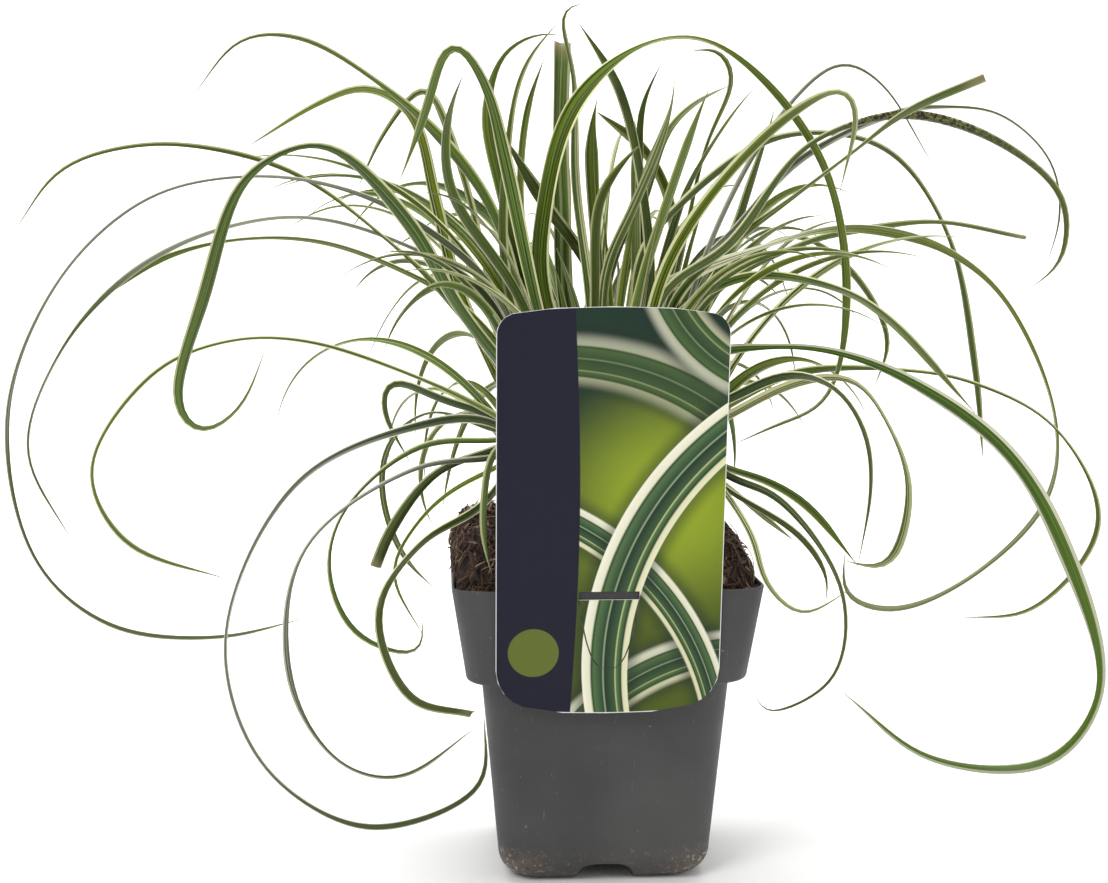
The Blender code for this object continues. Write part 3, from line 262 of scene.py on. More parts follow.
# Each leaf: mm of width, degrees that it leans away from the eye, mm that its tip is set back, its finish
# if that isn't drawn, and its route: places in the picture, each with the mm of width that show there
LEAVES = {
    "hoop_left_1": (3.3, -24, 0, "greyed", ((500, 300, 3.3), (420, 225, 3.3), (340, 188, 1.4), (250, 176, 0.9),
        (150, 197, 0.9), (60, 278, 0.8), (8, 410, 1.6), (35, 560, 1), (110, 625, 1.5), (220, 637, 1.6),
        (310, 617, 0.5))),
    "hoop_left_2": (3.4, -16, 0, "greyed", ((490, 300, 3.4), (400, 243, 1.8), (300, 217, 1.2), (200, 236, 2.2),
        (120, 282, 2.4), (57, 357, 0.8), (27, 451, 0.8), (75, 546, 0.4))),
    "hoop_left_3": (3.4, -17, 0, "", ((500, 370, 3.4), (440, 290, 3.4), (385, 238, 1.2), (300, 176, 1.8),
        (220, 150, 2.3), (140, 145, 1.6), (60, 170, 0.9), (12, 235, 0.4))),
    "hoop_left_4": (3.3, -27, 0, "greyed", ((493, 423, 3.8), (411, 428, 3.7), (296, 484, 1.7), (225, 637, 1),
        (264, 766, 1), (368, 827, 2), (480, 785, 2.3), (484, 716, 1.7))),
    "hoop_left_5": (2.6, -18, 0, "greyed", ((530, 450, 2.6), (493, 458, 3.1), (414, 469, 1.5), (303, 551, 1.2),
        (290, 680, 2.5), (339, 762, 0.9), (400, 777, 1.3), (478, 726, 0.9))),
    "hoop_left_6": (3.2, 4, 0, "", ((530, 440, 3.2), (493, 414, 3.6), (411, 375, 1.9), (304, 341, 1.9),
        (229, 341, 1.9), (154, 373, 1.8), (91, 469, 1.8), (125, 541, 2.5), (236, 582, 0.6))),
    "hoop_left_7": (3.2, -14, 0, "", ((530, 440, 3.2), (493, 441, 2.1), (421, 446, 2.8), (343, 512, 1),
        (329, 573, 1.6), (357, 634, 3), (420, 652, 1.3), (421, 609, 1))),
    "hoop_right_1": (6.6, -18, 0, "fresh", ((650, 400, 6.6), (700, 358, 6.6), (770, 347, 1.6), (830, 351, 3.4),
        (902, 377, 4.2), (1004, 449, 6.5), (1060, 540, 7.2), (1100, 690, 3.6), (1050, 760, 3.8), (930, 758, 2.8),
        (840, 690, 0.4))),
    "hoop_right_2": (6.6, 16, 0, "cream", ((640, 305, 6.6), (680, 280, 6.6), (760, 248, 1.8), (830, 230, 2.9),
        (890, 233, 4.5), (950, 253, 4.2), (1005, 300, 1.7), (1056, 420, 1.3), (1046, 500, 2.1), (966, 580, 2.2),
        (891, 609, 2.3), (846, 593, 2.1), (845, 550, 1.2))),
    "hoop_right_3": (3.3, 8, 0, "", ((680, 440, 3.3), (728, 406, 4), (794, 373, 4), (902, 370, 1.8),
        (971, 382, 1.4), (1056, 428, 1), (1099, 524, 2.5), (1032, 609, 2.2), (955, 618, 0.4))),
    "arch_left_1": (4.4, -8, 0, "", ((520, 300, 4.4), (490, 205, 4.4), (440, 137, 5.3), (380, 84, 2.3),
        (300, 38, 1.8), (240, 40, 0.7), (190, 100, 0.4))),
    "arch_left_2": (3.4, 30, 0, "", ((520, 380, 3.4), (460, 305, 3.4), (400, 270, 2.7), (320, 242, 1.9),
        (235, 240, 1.5), (160, 260, 2.7), (115, 290, 3.3))),
    "arch_left_3": (5.4, -20, 0, "", ((520, 390, 5.4), (460, 310, 5.4), (410, 225, 6.3), (340, 152, 4),
        (305, 145, 2), (245, 180, 3.4), (205, 295, 6), (178, 405, 3.7), (200, 432, 1.3), (240, 408, 0.6),
        (268, 342, 0.4))),
    "arch_left_4": (5, 12, 0, "", ((480, 340, 5), (455, 280, 5), (435, 200, 6), (410, 112, 4.3), (365, 88, 3.3),
        (320, 103, 2.8), (245, 148, 1.3))),
    "arch_left_5": (3.4, 34, 0, "", ((495, 300, 3.4), (470, 200, 3.4), (448, 130, 4.1), (425, 88, 3),
        (385, 132, 2.4), (356, 192, 0.9))),
    "arch_left_6": (5.2, -24, 0, "", ((535, 300, 5.2), (505, 160, 6.2), (485, 85, 4.5), (457, 44, 2.8),
        (448, 46, 2.7), (424, 118, 3.9), (397, 187, 0.6))),
    "arch_right_1": (7.4, -10, 0, "", ((545, 300, 7.4), (545, 210, 7.4), (575, 105, 7.4), (640, 46, 1.2),
        (700, 38, 1.8), (760, 77, 2.9), (825, 170, 4), (846, 300, 3.4), (825, 400, 1.4), (772, 427, 1),
        (732, 445, 0.7))),
    "arch_right_2": (4.2, 4, 0, "browned", ((660, 300, 4.2), (730, 245, 4.2), (800, 152, 2.5), (845, 127, 2.7),
        (915, 115, 3.9), (1000, 143, 3.9), (1062, 198, 2.7), (1060, 262, 1.6), (1025, 292, 0.4))),
    "arch_right_3": (3.3, 20, 0, "greyed", ((670, 300, 3.3), (735, 230, 3.3), (800, 160, 3.7), (900, 112, 3.3),
        (945, 107, 1.3), (1000, 114, 1.1), (1050, 160, 0.6), (1060, 215, 0.6), (1045, 270, 0.4))),
    "arch_right_4": (4.2, 33, 0, "dark", ((640, 260, 4.2), (680, 205, 3.6), (770, 140, 3.2), (850, 136, 2.4),
        (900, 160, 2.3), (950, 240, 2.2), (975, 370, 4), (983, 460, 2))),
    "arch_right_5": (4.8, -22, 0, "", ((655, 300, 4.8), (700, 210, 5.3), (790, 115, 4.1), (845, 89, 1.2),
        (856, 110, 2.7), (840, 192, 1.7))),
    "arch_right_6": (2.4, 24, 0, "greyed", ((690, 300, 2.4), (770, 130, 2.4), (840, 64, 1.3), (880, 82, 0.9),
        (937, 172, 0.3))),
    "arch_right_7": (3.8, -30, 0, "", ((660, 340, 3.8), (740, 278, 3.8), (840, 290, 3), (888, 319, 3.2),
        (975, 413, 2.1))),
    "arch_right_8": (3.3, 30, 0, "", ((680, 330, 3.3), (760, 250, 3.3), (800, 237, 1.9), (850, 270, 3.3),
        (888, 340, 2.9), (873, 390, 1.3))),
    "cut_right_1": (4, -14, 0, "", ((670, 310, 4), (730, 245, 4), (790, 200, 1.6), (860, 147, 1.3),
        (905, 113, 3.4), (985, 78, 3.3))),
    "cut_right_2": (3.2, 22, 0, "", ((700, 310, 3.2), (800, 245, 2.6), (880, 227, 3.6), (940, 222, 2.1),
        (1025, 238, 1.9))),
    "droop_right_1": (3.4, -34, 0, "dark", ((690, 420, 3.4), (728, 400, 4.1), (790, 375, 4.1), (835, 388, 1.9),
        (865, 433, 2.3), (871, 486, 1.2), (857, 571, 0.4))),
    "droop_right_2": (4.2, -6, 0, "olive", ((680, 450, 4.2), (740, 410, 4.2), (800, 382, 4.2), (853, 380, 1.6),
        (886, 420, 0.9), (909, 490, 3.4), (886, 566, 3.9), (846, 561, 2.6))),
    "low_right_1": (3.2, -20, 0, "", ((680, 450, 3.2), (727, 469, 3.2), (766, 481, 3.2), (806, 505, 3.8),
        (858, 566, 1.8))),
    "low_right_2": (3.2, -40, 0, "dark", ((675, 440, 3.2), (727, 476, 3.2), (780, 500, 2.7), (843, 593, 1.6),
        (833, 678, 0.8), (765, 712, 0.6), (752, 690, 0.4))),
    "low_right_3": (2.6, 14, 0, "dark", ((670, 450, 2.6), (727, 490, 2.6), (801, 537, 3.1), (828, 580, 1.8),
        (825, 606, 1))),
    "low_right_4": (2.6, 34, 0, "", ((660, 440, 2.6), (700, 465, 2.6), (758, 512, 2.6), (793, 540, 3.1))),
    "low_right_5": (2.6, -52, 0, "", ((660, 440, 2.6), (710, 475, 2.6), (754, 540, 2.6), (764, 580, 2),
        (801, 614, 1.3), (854, 587, 0.9))),
    "low_left_1": (3.2, 24, 0, "dark", ((530, 450, 3.2), (493, 417, 3.2), (446, 401, 3.8), (389, 382, 3.5),
        (384, 410, 3), (414, 469, 0.6))),
    "low_left_2": (2.5, 34, 0, "", ((530, 440, 2.5), (493, 430, 2.5), (430, 412, 0.8), (391, 441, 3),
        (382, 491, 3), (403, 555, 3), (437, 591, 1.2))),
    "low_left_3": (2.5, 10, 0, "", ((530, 450, 2.5), (500, 466, 2.5), (450, 492, 2.5), (416, 525, 1.5),
        (393, 573, 1.3), (427, 642, 0.7))),
    "cut_left_1": (4.8, -4, 0, "dark", ((530, 440, 4.6), (493, 451, 3.6), (436, 473, 3.8), (389, 534, 4.7),
        (376, 567, 4.8))),
    "cut_left_2": (3.6, -38, 0, "dark", ((530, 450, 3.6), (482, 506, 3.6), (421, 544, 2.2), (378, 612, 3.4),
        (411, 698, 3), (473, 714, 2.9))),
    "low_left_4": (3.3, -52, 0, "striped", ((530, 440, 2.8), (495, 450, 2.8), (484, 500, 2.7), (484, 540, 2.5),
        (492, 575, 2.2))),
    "cut_top": (7.5, 0, 26, "", ((565, 300, 7.5), (562, 210, 7.5), (560, 140, 7.5), (562, 42, 7.3))),
    "upright_1": (4.2, 20, -20, "", ((530, 300, 4.2), (500, 190, 4.2), (486, 110, 5), (505, 52, 1.7),
        (545, 33, 0.9), (568, 37, 0.8))),
    "upright_2": (4.4, 0, 10, "", ((590, 300, 4.4), (575, 180, 4.4), (574, 80, 1.5), (563, 8, 2.4),
        (590, 3, 0.8))),
    "upright_3": (4.4, -30, 0, "dark", ((650, 300, 4.4), (640, 170, 4.4), (620, 90, 4), (605, 62, 3.4),
        (578, 22, 2.6))),
    "upright_4": (2.8, 30, 20, "", ((670, 300, 2.8), (705, 150, 1.6), (733, 75, 2.2), (718, 50, 2.9),
        (685, 52, 0.8))),
    "upright_5": (4.2, 20, -30, "", ((640, 300, 4.2), (640, 170, 4.2), (643, 105, 2.5), (663, 60, 0.9))),
    "upright_6": (4.2, -20, -20, "", ((605, 280, 4.2), (635, 205, 4.2), (660, 145, 3.8), (673, 100, 0.9),
        (675, 72, 0.4))),
    "upright_7": (4.6, 30, 30, "", ((620, 300, 4.6), (650, 180, 4.6), (670, 128, 2.7), (700, 100, 2.7),
        (735, 83, 0.7))),
    "upright_8": (4.2, -30, -10, "lime", ((640, 290, 4.2), (660, 225, 4.6), (700, 110, 2.5), (710, 87, 1.1))),
    "upright_9": (4.4, 10, 30, "", ((655, 300, 4.4), (685, 195, 3.1), (715, 140, 1.5), (745, 98, 0.8),
        (760, 83, 0.6))),
    "upright_10": (4.2, 40, 0, "", ((680, 310, 4.2), (730, 240, 4.2), (750, 185, 3.7), (770, 125, 1.5),
        (776, 103, 1))),
    "upright_11": (4.4, -40, 0, "", ((520, 300, 4.4), (450, 190, 4.4), (447, 120, 4), (465, 70, 0.8))),
    "upright_12": (3.4, 0, 40, "", ((535, 300, 3.4), (520, 200, 3.4), (527, 110, 2.8), (545, 56, 1.7))),
    "upright_13": (4.4, -20, -30, "", ((510, 300, 4.4), (508, 140, 2.8), (525, 65, 1.9), (560, 20, 1.1))),
    "upright_14": (5.6, -20, -20, "dark", ((600, 295, 5.6), (575, 245, 5.6), (545, 205, 5.6), (505, 138, 5.6))),
    "upright_15": (5.2, 0, -30, "", ((600, 300, 5.2), (597, 250, 5.2), (592, 130, 6.2), (598, 95, 0.4))),
    "upright_16": (4.6, 10, -10, "", ((605, 300, 4.6), (625, 230, 4.6), (650, 170, 5.5), (672, 100, 1.1))),
    "upright_17": (4, 30, 20, "", ((670, 300, 4), (672, 210, 4.8), (645, 150, 4.8), (597, 112, 4.8))),
    "upright_18": (4, -30, -30, "", ((595, 300, 4), (600, 200, 4), (625, 160, 4), (640, 145, 4))),
    "upright_19": (4.6, 10, 50, "", ((637, 300, 4.6), (635, 200, 4.6), (635, 120, 4.6))),
}

# Leaves of the far side and the thick of the crown, placed by rule: how many, then ranges of
# compass angle, rise at the root, length in mm, and degrees turned from root to tip
FILLERS = (
    (22, (48, 132), (72, 86), (190, 290), (80, 165)),
    (14, (35, 150), (48, 66), (150, 240), (110, 190)),
    (8, (120, 160), (70, 84), (170, 260), (60, 130)),
    (8, (20, 60), (70, 84), (170, 260), (60, 130)),
    (5, (-150, -125), (74, 84), (150, 200), (80, 130)),
    (5, (-55, -30), (74, 84), (150, 200), (80, 130)),
    (8, (0, 360), (83, 89), (110, 170), (10, 45)),
)
FILLER_SEED = 41
FILLER_WIDTH = (4.0, 6.5)
FILLER_DRIFT = 0.3      # sideways bend at the tip, for each unit of length
FILLER_BEND = 1.7       # how much later than evenly a filler bends over
FILLER_STEPS = 40
FILLER_ATTEMPTS = 18
LOOSE_AFTER = 10        # attempts after which a filler may cross its own shoot's blades
FILLER_REACH = (200 * MM, 160 * MM, 352 * MM)

# How a leaf that is blocked moves aside: degrees of lean and mm of set-back, nearest first
LEAN_TRIES = (0, 3, -3, 6, -6, 10, -10, 15, -15, 21, -21, 28, -28)
BACK_TRIES = (0, 9, -9, 18, -18)
MOST_LEAN = 62

# Stage: a floor that sweeps up into a wall, and lamps by name with place, target, size and share of the
# main light's power
FLOOR_HALF = 6.0
FLOOR_FRONT = 3.0
FLOOR_BACK = 1.6
SWEEP_RADIUS = 1.2
SWEEP_STEPS = 16
WALL_HEIGHT = 5.0
LAMPS = (
    ("key", (-0.9, -1.2, 1.5), (0, 0, 0.2), 0.8, 1.0),
    ("fill", (1.4, -1.0, 0.8), (0, 0, 0.2), 1.0, 0.3),
    ("top", (0.2, 0.5, 1.9), (0, 0, 0.2), 1.0, 0.3),
    ("wall", (0.0, 0.9, 2.4), (0, 2.7, 1.0), 2.0, 6.0),
)


def arc(steps, degrees=90, first=0):
    """Angles evenly up to a last one."""
    return [math.radians(degrees * i / steps) for i in range(first, steps + 1)]


def round_ring(x, y, radius, z, sides):
    angles = [2 * math.pi * i / sides for i in range(sides)]
    return [(x + radius * math.cos(a), y + radius * math.sin(a), z) for a in angles]


def ring_faces(levels, count):
    """Faces that join rings of equal length, with both ends closed."""
    faces = [tuple(reversed(range(count)))]
    for low in range(0, (levels - 1) * count, count):
        for i in range(count):
            following = (i + 1) % count
            faces.append((low + i, low + following, low + count + following, low + count + i))
    last = (levels - 1) * count
    faces.append(tuple(range(last, last + count)))
    return faces


def wall_half(z):
    """Half the pot's outer width at a height above its rounded foot."""
    if z >= COLLAR_FOOT_Z:
        share = (z - COLLAR_FOOT_Z) / (POT_HEIGHT - COLLAR_FOOT_Z)
        return COLLAR_FOOT_HALF + share * (RIM_HALF - COLLAR_FOOT_HALF)
    share = (z - BODY_FOOT_Z) / (COLLAR_FOOT_Z - BODY_FOOT_Z)
    return BODY_FOOT_HALF + share * (BODY_TOP_HALF - BODY_FOOT_HALF)


def soil_edge(x, y):
    """How far out a place is: 0 at the middle and 1 at the pot's wall."""
    return min(1.0, ((abs(x) / POT_INNER_HALF) ** 5 + (abs(y) / POT_INNER_HALF) ** 5) ** 0.2)


def shoulders(x):
    return SHOULDERS[0 if x < 0 else 1]


def soil_height(x, y):
    """Height of the soil's lumpy top: steep at the left, sloping at the right."""
    dome = 1 - soil_edge(x, y) ** shoulders(x)[0]
    lumps = math.sin(x * 330 + 1.3) * math.sin(y * 290 + 0.4) + 0.7 * math.sin(x * 520 + y * 410 + 2.0)
    return POT_HEIGHT - 2 * MM + SOIL_RISE * dome + SOIL_LUMP * lumps * min(1.0, 0.3 + dome)


def crumb(x, y):
    """How far the compost's crumbs stand up at a place, and its steep shoulders."""
    edge = soil_edge(x, y)
    own, scene = shoulders(x)
    rise = SOIL_RISE * (edge ** own - edge ** scene) * math.sqrt(abs(x) / POT_INNER_HALF)
    for size, height in CRUMB_SIZES:
        rise += height * noise.noise(Vector((x / size, y / size, size / MM)))
    return rise


def ground(x, y):
    """The compost's top and the way up from it at a place."""
    def height(x, y):
        return soil_height(x, y) + crumb(x, y)

    slope_x = (height(x + SLOPE_STEP, y) - height(x - SLOPE_STEP, y)) / (2 * SLOPE_STEP)
    slope_y = (height(x, y + SLOPE_STEP) - height(x, y - SLOPE_STEP)) / (2 * SLOPE_STEP)
    return np.array((x, y, height(x, y))), unit(np.array((-slope_x, -slope_y, 1.0)))


def label_point(across, along, out):
    """A place on the label: mm across it, along it from its foot, and out from its back."""
    side = math.sin(LABEL_LEAN)
    rise = math.cos(LABEL_LEAN)
    back = -(wall_half(LABEL_REST_Z) + GAP)
    along_at_rest = (LABEL_REST_Z - LABEL_FOOT_Z) / rise
    y = back - side * (along - along_at_rest) - rise * out
    return (LABEL_X + across, y, LABEL_FOOT_Z + rise * along - side * out)


def label_back(z):
    """How far out the label's back is at a height."""
    return label_point(0, (z - LABEL_FOOT_Z) / math.cos(LABEL_LEAN), 0)[1]


def unit(vector):
    return vector / np.linalg.norm(vector)


def unit_rows(rows):
    return rows / np.linalg.norm(rows, axis=1)[:, None]


def lengths_along(curve):
    """The length of a curve up to each of its points."""
    return np.concatenate(((0,), np.cumsum(np.linalg.norm(np.diff(curve, axis=0), axis=1))))


def project(point):
    """Where a point shows in the front picture."""
    ray = np.asarray(point) - EYE
    across = ray @ RIGHT
    away = ray @ AWAY
    depth = away * math.cos(EYE_DIP) - ray[2] * math.sin(EYE_DIP)
    rise = away * math.sin(EYE_DIP) + ray[2] * math.cos(EYE_DIP)
    across_px = PICTURE_CENTRE[0] + PICTURE_FOCUS * across / depth
    return (across_px, PICTURE_CENTRE[1] - PICTURE_FOCUS * rise / depth)


def sight_line(px, py):
    """The direction in which a place in the picture lies, for one unit away from the eye."""
    across = (px - PICTURE_CENTRE[0]) / PICTURE_FOCUS
    rise = (PICTURE_CENTRE[1] - py) / PICTURE_FOCUS
    away = math.cos(EYE_DIP) + rise * math.sin(EYE_DIP)
    lift = rise * math.cos(EYE_DIP) - math.sin(EYE_DIP)
    return across / away, lift / away


def smooth_route(points):
    """A curve through the points that doesn't overshoot where they lie close together."""
    points = [np.asarray(point, float) for point in points]
    points = [2 * points[0] - points[1]] + points + [2 * points[-1] - points[-2]]
    route = []
    for p0, p1, p2, p3 in zip(points, points[1:], points[2:], points[3:]):
        t1 = np.linalg.norm(p1 - p0) ** 0.5
        t2 = t1 + np.linalg.norm(p2 - p1) ** 0.5
        t3 = t2 + np.linalg.norm(p3 - p2) ** 0.5
        for step in range(ROUTE_STEPS):
            t = t1 + (t2 - t1) * step / ROUTE_STEPS
            a1 = p0 + (p1 - p0) * t / t1
            a2 = p1 + (p2 - p1) * (t - t1) / (t2 - t1)
            a3 = p2 + (p3 - p2) * (t - t2) / (t3 - t2)
            b1 = a1 + (a2 - a1) * t / t2
            b2 = a2 + (a3 - a2) * (t - t1) / (t3 - t1)
            route.append(b1 + (b2 - b1) * (t - t1) / (t2 - t1))
    route.append(points[-2])
    return np.array(route)


def lift_route(root, lean, back, route):
    """The picture's route as a curve in space that starts at its root."""
    flat = smooth_route([project(root)] + [place[:2] for place in route])
    lengths = lengths_along(flat)
    root_across = (root - EYE) @ RIGHT
    root_away = (root - EYE) @ AWAY
    side = 1.0 if route[len(route) // 2][0] > PICTURE_AXIS else -1.0
    slope = side * math.tan(math.radians(lean))
    curve = []
    for (px, py), share in zip(flat, lengths / lengths[-1]):
        across, lift = sight_line(px, py)
        away = (root_away + back * MM * share ** 2 - slope * root_across) / (1 - slope * across)
        curve.append(EYE + RIGHT * across * away + AWAY * away + UP * lift * away)
    return np.array(curve)


def arched_route(root, compass, rise, length, turn, drift):
    """A curve that leaves its root at an angle and bends over more and more towards its tip."""
    outward = np.array((math.cos(compass), math.sin(compass), 0.0))
    sideways = np.array((-math.sin(compass), math.cos(compass), 0.0))
    curve = [np.array(root)]
    for i in range(FILLER_STEPS):
        share = (i + 0.5) / FILLER_STEPS
        slope = rise - turn * share ** FILLER_BEND
        move = outward * math.cos(slope) + UP * math.sin(slope) + sideways * drift * share
        curve.append(curve[-1] + move / np.linalg.norm(move) * length / FILLER_STEPS)
    return np.array(curve)


def turned(curve):
    """Degrees through which a curve turns in all."""
    moves = unit_rows(np.diff(curve, axis=0))
    dots = np.clip((moves[1:] * moves[:-1]).sum(axis=1), -1, 1)
    return math.degrees(np.arccos(dots).sum())


def even_points(curve, pieces, first=0.0):
    """Points evenly along a curve, after a first one if that has a length of its own, and their shares."""
    lengths = lengths_along(curve)
    wanted = np.linspace(0, lengths[-1], pieces + 1)
    if first:
        wanted = np.concatenate(((0,), np.linspace(first, lengths[-1], pieces)))
    points = np.stack([np.interp(wanted, lengths, curve[:, i]) for i in range(3)], axis=1)
    return points, wanted / lengths[-1]


def level_across(spine):
    """The level direction across a blade, square to where it reaches furthest."""
    reach = spine[np.argmax(np.linalg.norm(spine[:, :2] - spine[0, :2], axis=1))] - spine[0]
    outward = np.array((reach[0], reach[1], 0.0)) / max(math.hypot(reach[0], reach[1]), 1e-6)
    return np.cross(outward, UP)


def opened(shares):
    """The share of its width to which a blade has opened, from its folded root on."""
    return FOOT_WIDTH + OPENED_WIDTH * np.minimum(1.0, shares / OPENING)


def blade_width(share, width, cut_end, tip=TIP_WIDTH):
    """Width along a blade: folded at the root, widest at a third, and drawn out to the tip."""
    taper = 1.0 if cut_end else max(0.0, 1 - share ** TAPER_ONSET) ** TAPER_POINT
    return max(tip, width * opened(share) * taper)


def blade_rings(curve, width, roll, cut_end, grow=0.0):
    """Three-sided sections along a blade: two edges above and a keel below."""
    pieces = int(min(MOST_PIECES, max(LEAST_PIECES, round(turned(curve) / TURN_PER_PIECE) + 2)))
    spine, shares = even_points(curve, pieces, PARTING)
    across = level_across(spine)
    rings = []
    for i, (point, share) in enumerate(zip(spine, shares)):
        tangent = unit(spine[min(i + 1, pieces)] - spine[max(i - 1, 0)])
        side = unit(across - tangent * (across @ tangent))
        upper = np.cross(side, tangent)
        angle = roll * min(1.0, share / ROLL_FULL)
        edge = side * math.cos(angle) + upper * math.sin(angle)
        face = upper * math.cos(angle) - side * math.sin(angle)
        half = blade_width(share, width, cut_end) / 2
        keel = max(KEEL_LEAST, 2 * half * BLADE_KEEL) + 2 * grow
        half += grow
        rings.append((point + edge * half + face * keel * EDGE_RISE,
                      point - edge * half + face * keel * EDGE_RISE,
                      point - face * keel * KEEL_DROP))
    return rings


def search_tree(rings):
    """A search tree of a blade's triangles, with its box."""
    points = [tuple(point) for ring in rings for point in ring]
    spread = np.array(points)
    triangles = [(face[0], face[i], face[i + 1]) for face in ring_faces(len(rings), len(rings[0]))
                 for i in range(1, len(face) - 1)]
    return BVHTree.FromPolygons(points, triangles, all_triangles=True), spread.min(0), spread.max(0)


def beyond(curve, reach):
    return bool((np.abs(curve).max(axis=0) > reach).any())


def blocked(points, half_width):
    """Whether a curve runs into the floor, the pot, the soil or the label's place."""
    label_top = label_point(0, LABEL_LENGTH, LABEL_THICK)[2]
    for i, (x, y, z) in enumerate(points):
        if z < LOWEST_LEAF_Z + half_width:
            return True
        out = max(abs(x), abs(y))
        if i > 2 and out < RIM_HALF + half_width:
            low = soil_height(x, y) if out < RIM_HALF - 2 * MM else POT_HEIGHT
            if z < low + half_width * KEEL_DROP + SOIL_CLEAR:
                return True
        beside = abs(x - LABEL_X) > LABEL_WIDTH / 2 + half_width + SIDE_CLEAR
        behind = y > label_back(z) + half_width + BACK_CLEAR
        if not (beside or behind or z > label_top + TOP_CLEAR):
            return True
    return False


class Crown:
    """The shoots and the blades placed on them so far."""

    def __init__(self):
        self.places = [(CROWN_X, 0.0)]
        for i in range(RING_SHOOTS):
            angle = 2 * math.pi * (i + 0.5) / RING_SHOOTS
            self.places.append((CROWN_X + RING_RADIUS * math.cos(angle), RING_RADIUS * math.sin(angle)))
        self.blades = [[] for _ in self.places]
        self.trees = [(shoot, *search_tree(shoot_rings(x, y))) for shoot, (x, y) in enumerate(self.places)]
        self.upper_trees = []

    def nearest(self, direction, central):
        """Shoots in the order in which a leaf that goes that way could grow from them."""
        order = sorted(range(1, len(self.places)), key=lambda i: -float(np.dot(direction, self.places[i])))
        return [0] + order[:4] if central else order[:4] + [0]

    def root(self, shoot):
        count = len(self.blades[shoot])
        angle = ROOT_TURN * count
        spread = min(ROOT_SPREAD, (1.5 + 0.9 * count) * MM)
        x, y = self.places[shoot]
        return np.array((x + spread * math.cos(angle), y + spread * math.sin(angle), ROOT_Z))

    def free(self, shoot, rings, placed_trees, own):
        """Whether rings miss what was placed on other shoots or, if own is set, on this one."""
        mesh, low, high = search_tree(rings)
        for other, placed, other_low, other_high in placed_trees:
            if (other == shoot) != own or (low > other_high).any() or (high < other_low).any():
                continue
            if mesh.overlap(placed):
                return False
        return True

    def add(self, shoot, name, leaf, loose):
        """Place a blade if it is clear; unless loose is set, it also clears its own shoot's blades. A leaf
        is its curve, width, roll and whether its end is cut."""
        curve, width = leaf[:2]
        if beyond(curve, PLANT_REACH) or blocked(even_points(curve, 40)[0], width / 2):
            return False
        wide = blade_rings(*leaf, BLADE_GAP)
        if not self.free(shoot, wide, self.trees, False):
            return False
        if not loose and not self.free(shoot, wide[1:], self.upper_trees, True):
            return False
        rings = blade_rings(*leaf)
        self.trees.append((shoot, *search_tree(rings)))
        self.upper_trees.append((shoot, *search_tree(rings[1:])))
        self.blades[shoot].append((name, leaf))
        return True


def shoot_rings(x, y):
    """The sheathed foot of a shoot with a gap round it, from its hole in the soil to where its leaves part."""
    radius = SHOOT_RADIUS + BLADE_GAP
    rings = [round_ring(x, y, radius * FOOT_SHARE, SHOOT_FOOT_Z, SHOOT_SIDES),
             round_ring(x, y, radius, SHOOT_FOOT_Z + FOOT_TAPER, SHOOT_SIDES)]
    for share, size in SHEATH_TAPER:
        lean = SHEATH_SPLAY * share / RING_RADIUS
        rings.append(round_ring(x + (x - CROWN_X) * lean, y + y * lean, radius * size,
                                SHEATH_FOOT_Z + SHEATH_HEIGHT * share, SHOOT_SIDES))
    return rings


def place_read_leaves(crown):
    for index, (name, (width, lean, back, _, route)) in enumerate(LEAVES.items()):
        furthest = max(route, key=lambda place: abs(place[0] - PICTURE_AXIS))
        side = 1 if furthest[0] > PICTURE_AXIS else -1
        turn = math.radians(lean)
        direction = RIGHT[:2] * side * math.cos(turn) + AWAY[:2] * math.sin(turn)
        shoots = crown.nearest(direction, name.startswith(("upright", "cut_top")))
        full_width = min(WIDEST_BLADE, width * MM / SEEN_SHARE)
        roll = math.asin(min(1.0, width * MM / full_width)) * (1 if index % 2 else -1)
        tries = ((shoot, lean + d, back + b, loose) for loose in (False, True)
                 for shoot in shoots for b in BACK_TRIES for d in LEAN_TRIES if abs(lean + d) <= MOST_LEAN)
        for shoot, lean_now, back_now, loose in tries:
            curve = lift_route(crown.root(shoot), lean_now, back_now, route)
            if crown.add(shoot, name, (curve, full_width, roll, name.startswith("cut")), loose):
                break
        else:
            raise RuntimeError("no clear place for " + name)


def place_fillers(crown):
    draw = random.Random(FILLER_SEED)
    placed = 0
    for count, compass_range, rise_range, length_range, turn_range in FILLERS:
        central = compass_range[1] - compass_range[0] > 180
        for number in range(count):
            for attempt in range(FILLER_ATTEMPTS):
                share = (number + draw.random()) / count
                compass = math.radians(compass_range[0] + share * (compass_range[1] - compass_range[0]))
                rise = math.radians(draw.uniform(*rise_range))
                length = draw.uniform(*length_range) * MM
                turn = math.radians(draw.uniform(*turn_range))
                drift = draw.uniform(-FILLER_DRIFT, FILLER_DRIFT)
                width = draw.uniform(*FILLER_WIDTH) * MM
                direction = np.array((math.cos(compass), math.sin(compass)))
                shoot = draw.choice(crown.nearest(direction, central)[:2])
                curve = arched_route(crown.root(shoot), compass, rise, length, turn, drift)
                if beyond(curve, FILLER_REACH):
                    continue
                spread = (placed * GOLDEN_SHARE) % 1.0
                roll = math.radians(ROLL_LEAST + ROLL_SPREAD * spread) * (1 if placed % 2 else -1)
                if crown.add(shoot, "filler", (curve, width, roll, False), attempt > LOOSE_AFTER):
                    placed += 1
                    break


def linear(colour):
    """An sRGB hex colour as linear red, green and blue."""
    parts = [int(colour[i:i + 2], 16) / 255 for i in (0, 2, 4)]
    return [part / 12.92 if part <= 0.04045 else ((part + 0.055) / 1.055) ** 2.4 for part in parts]


